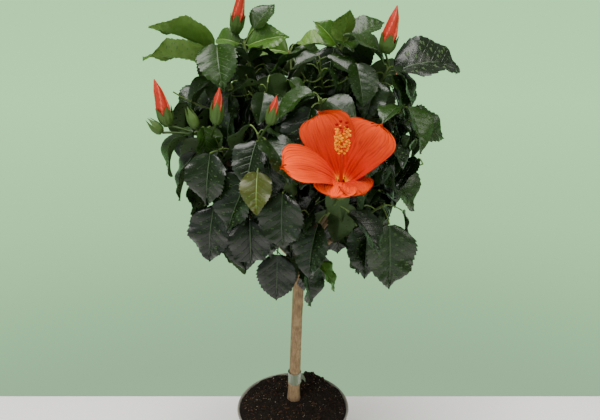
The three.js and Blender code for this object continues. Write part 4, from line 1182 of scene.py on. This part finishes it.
# Painted light: a lighter orange is mixed in where the petals are painted as lit by glancing light and shone
# through.
painted_light_mix = add_node(tree, "ShaderNodeMix", {"data_type": "RGBA", 7: linear("#f44c04")},
                   {0: painted_light.outputs["Fac"], 6: depth.outputs["Color"]})
veined = add_node(tree, "ShaderNodeMix", {"data_type": "RGBA", 7: linear("#86160a")},
                  {0: on_vein.outputs["Fac"], 6: painted_light_mix.outputs[2]})
tree.links.new(veined.outputs[2], shader.inputs["Base Color"])

# %% [markdown]
# The two lower petals hang forward and roll over, so from the front they show a
# rounded lip. The left and lower petals and every petal's edge are painted a
# lighter orange: painted light, for the light that glances on them and shines
# through the thin petals. This painted light and the veins are kept with the mesh
# as numbers too.

# %% Petals
PETAL_THICKNESS = 0.4
petal_rows = np.clip(1 - (1 - np.linspace(0, 1, 52)) ** 1.5, 0.0, 0.998)
petal_columns = np.linspace(-1, 1, 97)
receptacle = curves["bloom"].at(1)
throat = receptacle + forward * BLOOM["tube"]
PETAL_ROLL = (0, 0, 6, 24, 34)
PETAL_SIZE = ((1, 0.98), (0.98, 1), (1, 1), (0.92, 1.1), (0.9, 1.05))
PETAL_TURN = (0, -2, 1, -5, 3)
PETAL_FRONT = (0, 0, 0, 3, -3)
# Painted light on each petal, in the order of the petals: most on the left and bottom petals, for the
# glancing light on them and the light through them.
PETAL_PAINTED_LIGHT = (0.0, 0.12, 0.75, 1.0, 0.25)


def petal_lift(number, across, along):
    """Soft waves, crinkles near the edge and fine pleats, in mm, and the pleats alone."""
    def noise(across_steps, along_steps, seed):
        place = [across * across_steps, along * along_steps, across * 0 + number * 9 + seed]
        return lumps(np.stack(place, -1), 1.0)
    wander = 2.4 * noise(4, 2.5, 4) + 0.9 * noise(14, 7, 9)
    inner, outer = np.cos(across * 30 + wander), np.cos(across * 60 + 2 * wander)
    pleats = blend(inner, outer, smooth_step(along + 0.12 * noise(9, 0, 11), 0.4, 0.6))
    even = np.clip(1 - along ** 6, 0, 1)
    lift = (3.2 * noise(3.2, 2.2, 0) * along ** 2.5 * (0.4 + 0.6 * even)
            + 3.2 * noise(10, 4, 1) * along ** 5 * even)
    lift += 2.2 * noise(17, 7, 2) * along ** 4 * even + 0.22 * pleats * along ** 0.4 * even
    return lift + PETAL_FRONT[number] * along, pleats, noise


def make_petals():
    along, across = np.meshgrid(petal_rows, petal_columns, indexing="ij")
    faces = grid_faces(len(petal_rows), len(petal_columns))
    sheets, tones, veins, painted_light_values = [], [], [], []
    for number, petal in enumerate(BLOOM["petals"]):
        turn, tip_angle, length, width = petal
        longer, wider = PETAL_SIZE[number]
        shape = (turn + PETAL_TURN[number], tip_angle + PETAL_ROLL[number], length * longer, width * wider)
        lift, pleats, noise = petal_lift(number, across, along)
        edge = 0.7 * noise(8, 0, 5) + 0.9 * noise(23, 0, 6)
        reach = along * (1 - 0.06 * np.clip(edge, -1, 1) * along ** 5)
        vein = (np.clip(0.1 - pleats, 0, 1) ** 1.4 * np.clip(0.75 + 0.8 * noise(7, 5, 7), 0, 1.3)
                * np.interp(along, [0, 0.2, 0.7, 1], [0.2, 0.9, 0.8, 0.45]))
        # Painted light: a lighter orange on the left and lower petals and towards every edge.
        painted_light = PETAL_PAINTED_LIGHT[number] * along ** 0.9 * (0.85 + 0.3 * noise(4, 3, 8)) + 0.25 * along ** 8
        for way in (1, -1):
            points = on_petal(throat, shape, across, reach, way * PETAL_THICKNESS / 2, lift)
            sheets.append((points, faces[:, ::way], 0, True))
            tones.append(along.ravel())
            veins.append(np.clip(vein.ravel() * 0.8, 0, 1))
            painted_light_values.append(np.clip(painted_light, 0, 1).ravel())
    petals = make_piece("bloom_petals", sheets, [petal_finish])
    for name, values in (("from_throat", tones), ("on_vein", veins), ("painted_light", painted_light_values)):
        petals.data.attributes.new(name, "FLOAT", "POINT").data.foreach_set("value", np.concatenate(values))
    return petals


petals = make_petals()

# %% [markdown]
# ## Column, stamens and stigmas
#
# One long column grows out of the throat. Its outer half is set with short
# threads, each with a yellow grain of anther, and its tip parts into five arms
# that end in round dark red pads.

# %% Heart of the bloom
column_finish, tree, shader = new_finish("bloom column", {
    "Base Color": linear("#c42a0e"), "Roughness": 0.5, "Specular IOR Level": 0.3})
thread_finish, tree, shader = new_finish("stamen thread", {
    "Base Color": linear("#e87a18"), "Roughness": 0.55, "Specular IOR Level": 0.3})
anther_finish, tree, shader = new_finish("anther with pollen", {
    "Base Color": linear("#f29400"), "Roughness": 0.9, "Specular IOR Level": 0.05})
pad_finish, tree, shader = new_finish("velvet stigma pad", {
    "Base Color": linear("#8c0804"), "Roughness": 0.8, "Specular IOR Level": 0.1})


def ball(centre, radii, number, rings=5, sides=7):
    """A small rounded grain."""
    up_angle = np.linspace(-math.pi / 2 + 0.25, math.pi / 2 - 0.25, rings)
    turn = np.arange(sides) * 2 * math.pi / sides
    points = np.stack([np.cos(up_angle)[:, None] * np.cos(turn), np.cos(up_angle)[:, None] * np.sin(turn),
                       np.sin(up_angle)[:, None] + 0 * turn], -1) * radii + centre
    around = np.arange(sides)
    fan = np.stack([around, (around + 1) % sides, np.full(sides, sides)], -1)
    return [(points, grid_faces(rings, sides, closed=True), number, True),
            (np.vstack([points[0], centre - UP * np.asarray(radii) * 1.0]), fan[:, ::-1], number, True),
            (np.vstack([points[-1], centre + UP * np.asarray(radii) * 1.0]), fan, number, True)]


def around_column(turn, ahead):
    """A direction that leaves the column at a turn, leaning ahead."""
    turn = math.radians(turn)
    return unit(up * math.cos(turn) + right * math.sin(turn) + forward * ahead)


def column_at(share):
    return throat + forward * BLOOM["column"] * share + up * 3 * share ** 2


STAMENS, STIGMAS = 84, 5
heart = tube([column_at(share) for share in np.linspace(-0.05, 0.91, 24)],
             blend(2.3, 0.9, np.linspace(0, 1, 24) ** 0.8), 12, 0)
chance = seeded(77)
for number in range(STAMENS):
    share = 0.5 + 0.35 * (number / STAMENS) ** 0.75
    out = around_column(number * GOLDEN_TURN + 20 * chance(), 0.25 + 0.5 * chance())
    length = 4 + 5 * chance()
    root = column_at(share)
    path = [root, root + out * length * 0.5 + UP * 0.3, root + out * length]
    heart += tube(path, [0.32, 0.25, 0.22], 4, 1)
    heart += ball(root + out * (length + 0.5), np.array([1.35, 1.1, 1.0]) * (0.85 + 0.35 * chance()), 2)
for number in range(STIGMAS):
    out = around_column(number * 360 / STIGMAS + 18, 0.75)
    root = column_at(0.9)
    heart += tube([root, root + out * 3 + forward * 1.5, root + out * 6 + forward * 2], [0.6, 0.5, 0.5], 6, 0)
    heart += ball(root + out * 6.8 + forward * 2, (1.7, 1.7, 1.5), 3, 7, 10)
heart_piece = make_piece("bloom_heart", heart, [column_finish, thread_finish, anther_finish, pad_finish])

# %% [markdown]
# ## Calyx of the bloom, and the buds
#
# Behind the petals is a green cup with five points, the calyx, and under it a
# ring of narrow green bracts. A bud is the same flower rolled up: five petals
# wound round one another like an umbrella, which gives the spiral ridges on a
# pointed red-orange spindle, and the green cup holds its lower part. A bud that
# is still small is nearly all cup.

# %% Buds
bud_finish, tree, shader = new_finish("rolled petals of a bud", {
    "Base Color": linear("#a62614"), "Roughness": 0.5, "Specular IOR Level": 0.3})
bud_edge_finish, tree, shader = new_finish("pale edge of a rolled petal", {
    "Base Color": linear("#c04a34"), "Roughness": 0.55, "Specular IOR Level": 0.3})
cup_finish, tree, shader = new_finish("green calyx", {
    "Base Color": linear("#3c5420"), "Roughness": 0.55, "Specular IOR Level": 0.3})
bract_finish, tree, shader = new_finish("green bract", {
    "Base Color": linear("#34491c"), "Roughness": 0.55, "Specular IOR Level": 0.3})
BUD, CUP, BRACT, BUD_EDGE = 0, 1, 2, 3
LOBES = 5
OPENING_BUD, COLOURED_BUD = 8, 5.6


def axes_of(direction):
    side = unit(np.cross(direction, UP) + 1e-6)
    return side, np.cross(side, direction)


def spindle(base, direction, length, radius):
    """Rolled petals: a pointed spindle with ridges that wind round it."""
    share = np.linspace(0.12, 0.995, 34)
    turn = np.arange(40) * 2 * math.pi / 40
    girth = np.interp(share, [0, 0.15, 0.4, 0.75, 1], [0.55, 0.85, 1, 0.62, 0.05])
    wound = LOBES * (turn[None, :] + 1.5 * share[:, None]) / (2 * math.pi) % 1
    radii = radius * girth[:, None] * (0.84 + 0.16 * wound ** 0.7)
    side, other = axes_of(direction)
    path = base + direction * share[:, None] * length
    points = path[:, None] + (side * np.cos(turn)[:, None] + other * np.sin(turn)[:, None]) * radii[..., None]
    faces = grid_faces(len(share), len(turn), closed=True)
    is_edge = wound.ravel()[faces[:, 0]] > 0.8
    return [(points, faces[~is_edge], BUD, True), (points, faces[is_edge], BUD_EDGE, True)]


def cup(base, direction, length, radius, height, spread=1.0):
    """The calyx: a ribbed cup whose rim rises in five points. height is its share of the bud."""
    side, other = axes_of(direction)
    turn = np.arange(50) * 2 * math.pi / 50
    point_up = np.abs((turn * LOBES / (2 * math.pi)) % 1 - 0.5) * 2
    sheets = []
    for inside in (0, 1):
        share = np.linspace(0, 1, 14)[:, None] * height * (0.55 + 0.45 * point_up ** 0.8)
        girth = np.interp(share, [0, 0.05, 0.15, 0.4, 0.75, 1.2], [0.3, 0.7, 0.98, 1.1, 0.72, 0.1])
        rib = 0.05 * np.cos(turn * LOBES * 2)
        radii = radius * (girth * spread + rib * np.sin(share / height * 3)) + 0.5 - 0.4 * inside
        points = (base + direction * share[..., None] * length
                  + (side * np.cos(turn)[:, None] + other * np.sin(turn)[:, None]) * radii[..., None])
        faces = grid_faces(14, 50, closed=True)
        sheets.append((points, faces[:, ::-1] if inside else faces, CUP, True))
    return sheets


def bracts(base, direction, radius, length, count):
    side, other = axes_of(direction)
    sheets = []
    for number in range(count):
        turn = 2 * math.pi * number / count
        out = side * math.cos(turn) + other * math.sin(turn)
        share = np.linspace(0, 1, 7)
        aside = radius * 0.55 + length * 0.42 * share[:, None] ** 1.6
        path = base + direction * (share[:, None] * length * 0.85) + out * aside
        sheets += tube(path, np.interp(share, [0, 0.4, 1], [0.7, 0.9, 0.15]), 5, BRACT)
    return sheets


bud_sheets = []
for shoot in SHOOTS:
    for bud in shoot.get("buds", ()):
        root = curves[shoot["name"]].at(bud[0])
        base, direction, length = bud_points(root, bud)
        radius = bud[3]
        share = np.linspace(0, 1, 9)[:, None]
        path = (blend(root, base, share) + direction * 6 * share ** 3 * (1 - share)
                + UP * 3 * share * (1 - share))
        bud_sheets += tube(path, blend(1.1, 1.5, share[:, 0]), 8, BRACT)
        if radius > COLOURED_BUD:
            bud_sheets += spindle(base, direction, length, radius)
        height = 0.42 if radius > OPENING_BUD else 0.66 if radius > COLOURED_BUD else 0.99
        bud_sheets += cup(base, direction, length, radius, height)
        bud_sheets += bracts(base, direction, radius, min(0.3 * length, 11), 7)
bud_sheets += cup(receptacle - forward * 1, forward, BLOOM["tube"] + 10, 7.6, 0.9, 0.9)
bud_sheets += bracts(receptacle, forward, 7, 12, 8)
stalk_share = np.linspace(0.9, 1.0, 5)
bud_sheets += tube(np.vstack([curves["bloom"].at(stalk_share), receptacle + forward * 2]),
                   [1.7, 1.7, 1.8, 2.0, 2.4, 3.0], 9, BRACT)
buds = make_piece("buds_and_calyces", bud_sheets, [bud_finish, cup_finish, bract_finish, bud_edge_finish])
for piece in (petals, heart_piece, buds):
    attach(piece, "root")
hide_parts("bloom")
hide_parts("bloom")
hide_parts("bloom", *["foliage_" + shoot["name"] for shoot in SHOOTS if shoot.get("buds")])

# %% [markdown]
# ## Nursery pot
#
# The pot is injection-moulded polypropylene, a soft satin plastic in taupe. It
# is turned from one profile: a thin wall that leans outwards, a rolled lip that
# stands out from it, and a flat floor with drain holes. The mould leaves an even,
# faintly pebbled skin, and handling leaves dull rubbed patches. The holes are cut
# by cylinders with a Boolean modifier, and the cut is then made permanent.

# %% Pot
pot_finish, tree, shader = new_finish("moulded polypropylene", {"Specular IOR Level": 0.45, "IOR": 1.49})
skin = add_node(tree, "ShaderNodeTexNoise", {"Scale": 1500, "Detail": 2})
rubbed = add_node(tree, "ShaderNodeTexNoise", {"Scale": 38, "Detail": 4})
tone = add_node(tree, "ShaderNodeMix", {"data_type": "RGBA", 6: linear("#77756a"), 7: linear("#8a887c")},
                {0: rubbed.outputs["Fac"]})
dull = add_node(tree, "ShaderNodeMapRange", {"To Min": 0.42, "To Max": 0.62},
                {"Value": rubbed.outputs["Fac"]})
bump = add_node(tree, "ShaderNodeBump", {"Strength": 0.15, "Distance": 0.0002},
                {"Height": skin.outputs["Fac"]})
tree.links.new(tone.outputs[2], shader.inputs["Base Color"])
tree.links.new(dull.outputs["Result"], shader.inputs["Roughness"])
tree.links.new(bump.outputs["Normal"], shader.inputs["Normal"])
POT_SIDES = 160


def pot_radius(level):
    return blend(POT["base"], POT["rim"] - POT["lip_out"], level / POT["height"])


def make_pot():
    top, lip = POT["height"], POT["height"] - POT["lip_depth"]
    rim, wall = POT["rim"], POT["wall"]
    profile = [(0.01, 0), (20, 0), (40, 0), (POT["base"] - 1.4, 0), (POT["base"] - 0.5, 0.3),
               (POT["base"] + 0.1, 1.3)]
    profile += [(pot_radius(level), level) for level in np.linspace(6, lip - 1, 12)]
    profile += [(pot_radius(lip) + 0.15, lip - 0.3), (pot_radius(lip) + 0.9, lip + 0.1),
                (pot_radius(lip) + 1.5, lip + 0.7), (rim - 0.55, top - 3), (rim - 0.2, top - 1.4),
                (rim - 0.5, top - 0.5), (rim - 1.1, top - 0.1), (rim - 2.0, top - 0.1),
                (rim - 2.9, top - 0.35), (rim - 3.4, top - 1.0)]
    profile += [(pot_radius(level) - wall, level) for level in np.linspace(top - 4, POT["floor"] + 1.5, 12)]
    profile += [(pot_radius(POT["floor"]) - wall - 1.2, POT["floor"]), (30, POT["floor"]),
                (0.01, POT["floor"])]
    profile = np.array(profile)
    turn = np.arange(POT_SIDES) * 2 * math.pi / POT_SIDES
    points = np.stack([profile[:, :1] * np.cos(turn), profile[:, :1] * np.sin(turn),
                       profile[:, 1:] + 0 * turn], -1)
    faces = grid_faces(len(profile), POT_SIDES, closed=True)
    pot = make_piece("nursery_pot", [(points, faces, 0, True)], [pot_finish])
    cutters = []
    for number in range(POT["holes"]):
        angle = 2 * math.pi * number / POT["holes"]
        centre = np.array([math.cos(angle), math.sin(angle), 0]) * POT["hole_circle"]
        cutters += tube([centre - UP * 4, centre + UP * 8], [POT["hole_radius"]] * 2, 28, 0)
    cutter = make_piece("drain_hole_cutter", cutters, [pot_finish])
    cut = pot.modifiers.new("drain holes", "BOOLEAN")
    cut.object, cut.operation, cut.solver = cutter, "DIFFERENCE", "EXACT"
    cut.use_self = True
    seen = pot.evaluated_get(bpy.context.evaluated_depsgraph_get())
    pot.data = bpy.data.meshes.new_from_object(seen)
    pot.modifiers.clear()
    bpy.data.objects.remove(cutter)
    print("pot faces after the cut:", len(pot.data.polygons))
    return pot


pot = make_pot()
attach(pot, "root")
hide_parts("pot")

# %% [markdown]
# ## Potting mix
#
# Moist peat is nearly black and has no shine. It holds crumbs of all sizes,
# brown chips of bark, straw-coloured fibres and a few pale grains. The ground is
# one lumpy sheet, and the crumbs are loose bodies that lie on it, so they throw
# small shadows. All of them are joined into one mesh by their finish.

# %% Soil
def soil_finish(name, colour, roughness=0.95):
    finish, tree, shader = new_finish(name, {
        "Base Color": linear(colour), "Roughness": roughness, "Specular IOR Level": 0.2})
    grain = add_node(tree, "ShaderNodeTexNoise", {"Scale": 800, "Detail": 6, "Roughness": 0.7})
    bump = add_node(tree, "ShaderNodeBump", {"Strength": 0.9, "Distance": 0.0012},
                    {"Height": grain.outputs["Fac"]})
    tree.links.new(bump.outputs["Normal"], shader.inputs["Normal"])
    return finish


soil_finishes = [soil_finish("moist peat", "#1c1712"), soil_finish("dark crumb", "#2a2119"),
                 soil_finish("bark chip", "#4a3322"), soil_finish("straw fibre", "#8a7454", 0.8),
                 soil_finish("pale grain", "#b9ab92", 0.8)]


def soil_level(x, y):
    from_stem = np.hypot(x - STEM["foot"][0], y - STEM["foot"][1])
    from_mound = np.hypot(x - SOIL["mound_at"][0], y - SOIL["mound_at"][1])
    ripple = SOIL["ripple"] * (np.sin(x * 0.19 + 1) * np.cos(y * 0.16) + np.sin(x * 0.07 - y * 0.11))
    inside = 1 - smooth_step(np.hypot(x, y), *SOIL["shoulder"])
    mound = SOIL["mound"] * np.exp(-(from_mound / SOIL["spread"]) ** 2) * inside
    rough = smooth_step(from_stem, SOIL["seat_radius"], SOIL["seat_radius"] + 16)
    return (blend(SOIL["seat"], SOIL["edge"], smooth_step(from_stem, SOIL["seat_radius"], POT["rim"]))
            + (mound + ripple) * rough)


def lumpy_level(x, y):
    place = np.stack([x, y, 0 * x], -1)
    return (soil_level(x, y) + 1.5 * lumps(place, 7.5) + 0.9 * lumps(place, 3.1, 2)
            + 0.5 * lumps(place, 1.5, 4))


# How many there are of each kind of loose body, its finish, its least and greatest
# size in mm, and its shape
SOIL_BITS = ((2600, 1, (0.5, 1.5), (1, 1, 0.8)), (520, 1, (1.4, 4.2), (1, 0.9, 0.8)),
             (420, 2, (1.0, 4.2), (1, 0.55, 0.28)), (150, 3, (1.6, 4.2), (1, 0.1, 0.1)),
             (260, 4, (0.45, 1.1), (1, 0.9, 0.8)))


def make_soil():
    inner = pot_radius(SOIL["edge"] - 2) - POT["wall"] - GAP
    radius = np.linspace(0.5, inner, 110)[:, None]
    turn = np.arange(300) * 2 * math.pi / 300
    x, y = radius * np.cos(turn), radius * np.sin(turn)
    sheets = [(np.stack([x, y, lumpy_level(x, y)], -1), grid_faces(110, 300, closed=True), 0, True)]
    chance = np.random.default_rng(41)
    corners = np.array([(1, 0, 0), (-1, 0, 0), (0, 1, 0), (0, -1, 0), (0, 0, 1), (0, 0, -1)], float)
    faces = np.array([(0, 2, 4), (2, 1, 4), (1, 3, 4), (3, 0, 4), (2, 0, 5), (1, 2, 5), (3, 1, 5), (0, 3, 5)])
    for count, number, sizes, shape in SOIL_BITS:
        away = inner * 0.985 * np.sqrt(chance.random(count))
        turn = chance.random(count) * 2 * math.pi
        x, y = away * np.cos(turn), away * np.sin(turn)
        size = blend(*sizes, chance.random(count) ** 2.2)
        keep = (np.hypot(x - STEM["foot"][0], y) > 12.5 + size) & (away + size < inner)
        x, y, size = x[keep], y[keep], size[keep]
        count = len(x)
        spin = np.linalg.qr(chance.normal(size=(count, 3, 3)))[0]
        if shape[2] < 0.5:
            flat = chance.normal(scale=0.25, size=(count, 3))
            bearing = chance.random(count) * 2 * math.pi
            spin = np.stack([np.stack([np.cos(bearing), np.sin(bearing), flat[:, 0]], -1),
                             np.stack([-np.sin(bearing), np.cos(bearing), flat[:, 1]], -1),
                             np.stack([flat[:, 2] * 0, flat[:, 1], 1 + 0 * bearing], -1)], 1)
        body = corners * np.array(shape) * chance.uniform(0.65, 1.25, (count, 6, 1))
        centre = np.stack([x, y, lumpy_level(x, y) + size * shape[2] * 0.35], -1)
        points = np.einsum("nij,njk->nik", body, spin) * size[:, None, None] + centre[:, None]
        every = (faces[None] + 6 * np.arange(count)[:, None, None]).reshape(-1, 3)
        sheets.append((points, every, number, False))
    return make_piece("potting_mix", sheets, soil_finishes)


soil = make_soil()
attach(soil, "root")
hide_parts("soil")

# %% [markdown]
# ## Film tie
#
# Nurseries wind a strip of clear stretch film round the stem to hold a label or
# a cane. It is a soft greenish grey where it lies double. The strip is wound a
# little more than twice, slightly askew, with a short free tail.

# %% Tie
tie_finish, tree, shader = new_finish("clear stretch film", {
    "Base Color": linear("#76826c"), "Roughness": 0.5, "IOR": 1.49, "Transmission Weight": 0.3,
    "Specular IOR Level": 0.25})
FILM_FACES = ((1, 0.12), (-1, -0.12))


def make_tie():
    turns = np.linspace(0, 2.35, 150)
    angle = turns * 2 * math.pi - 2.2
    rows = np.linspace(-0.5, 0.5, 9)
    bore = stem_radius(TIE["level"] - TIE["height"]) + TIE["looseness"] * 0.6
    across, deep = np.cos(angle)[:, None], np.sin(angle)[:, None]
    place = np.stack(np.broadcast_arrays(across * 9, deep * 9, rows * 13), -1)
    sheets = []
    for face, thickness in FILM_FACES:
        radius = bore + 0.28 * turns[:, None] + 0.25 * lumps(place, 4) + thickness
        level = rows * TIE["height"] + 1.6 * deep * 0.5 + 0.8 * turns[:, None] - 1
        points = np.stack([radius * across, radius * deep, level + 0 * radius], -1)
        points += stem_point(TIE["level"])
        faces = grid_faces(150, 9)
        sheets.append((points, faces[:, ::face], 0, True))
    tail = np.linspace(0, 1, 12)
    x = bore + 0.5 + 6.5 * tail ** 0.7
    for face, thickness in FILM_FACES:
        points = np.stack([x[:, None] + 0 * rows, thickness + 1.2 * np.sin(tail * 4)[:, None] + 0 * rows,
                           rows * 10 * (1 - 0.35 * tail[:, None]) - 7 * tail[:, None]], -1)
        points = points + stem_point(TIE["level"])
        faces = grid_faces(12, 9)
        sheets.append((points, faces[:, ::face], 0, True))
    return make_piece("film_tie", sheets, [tie_finish])


tie = make_tie()
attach(tie, "root")
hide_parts("stem_tie")
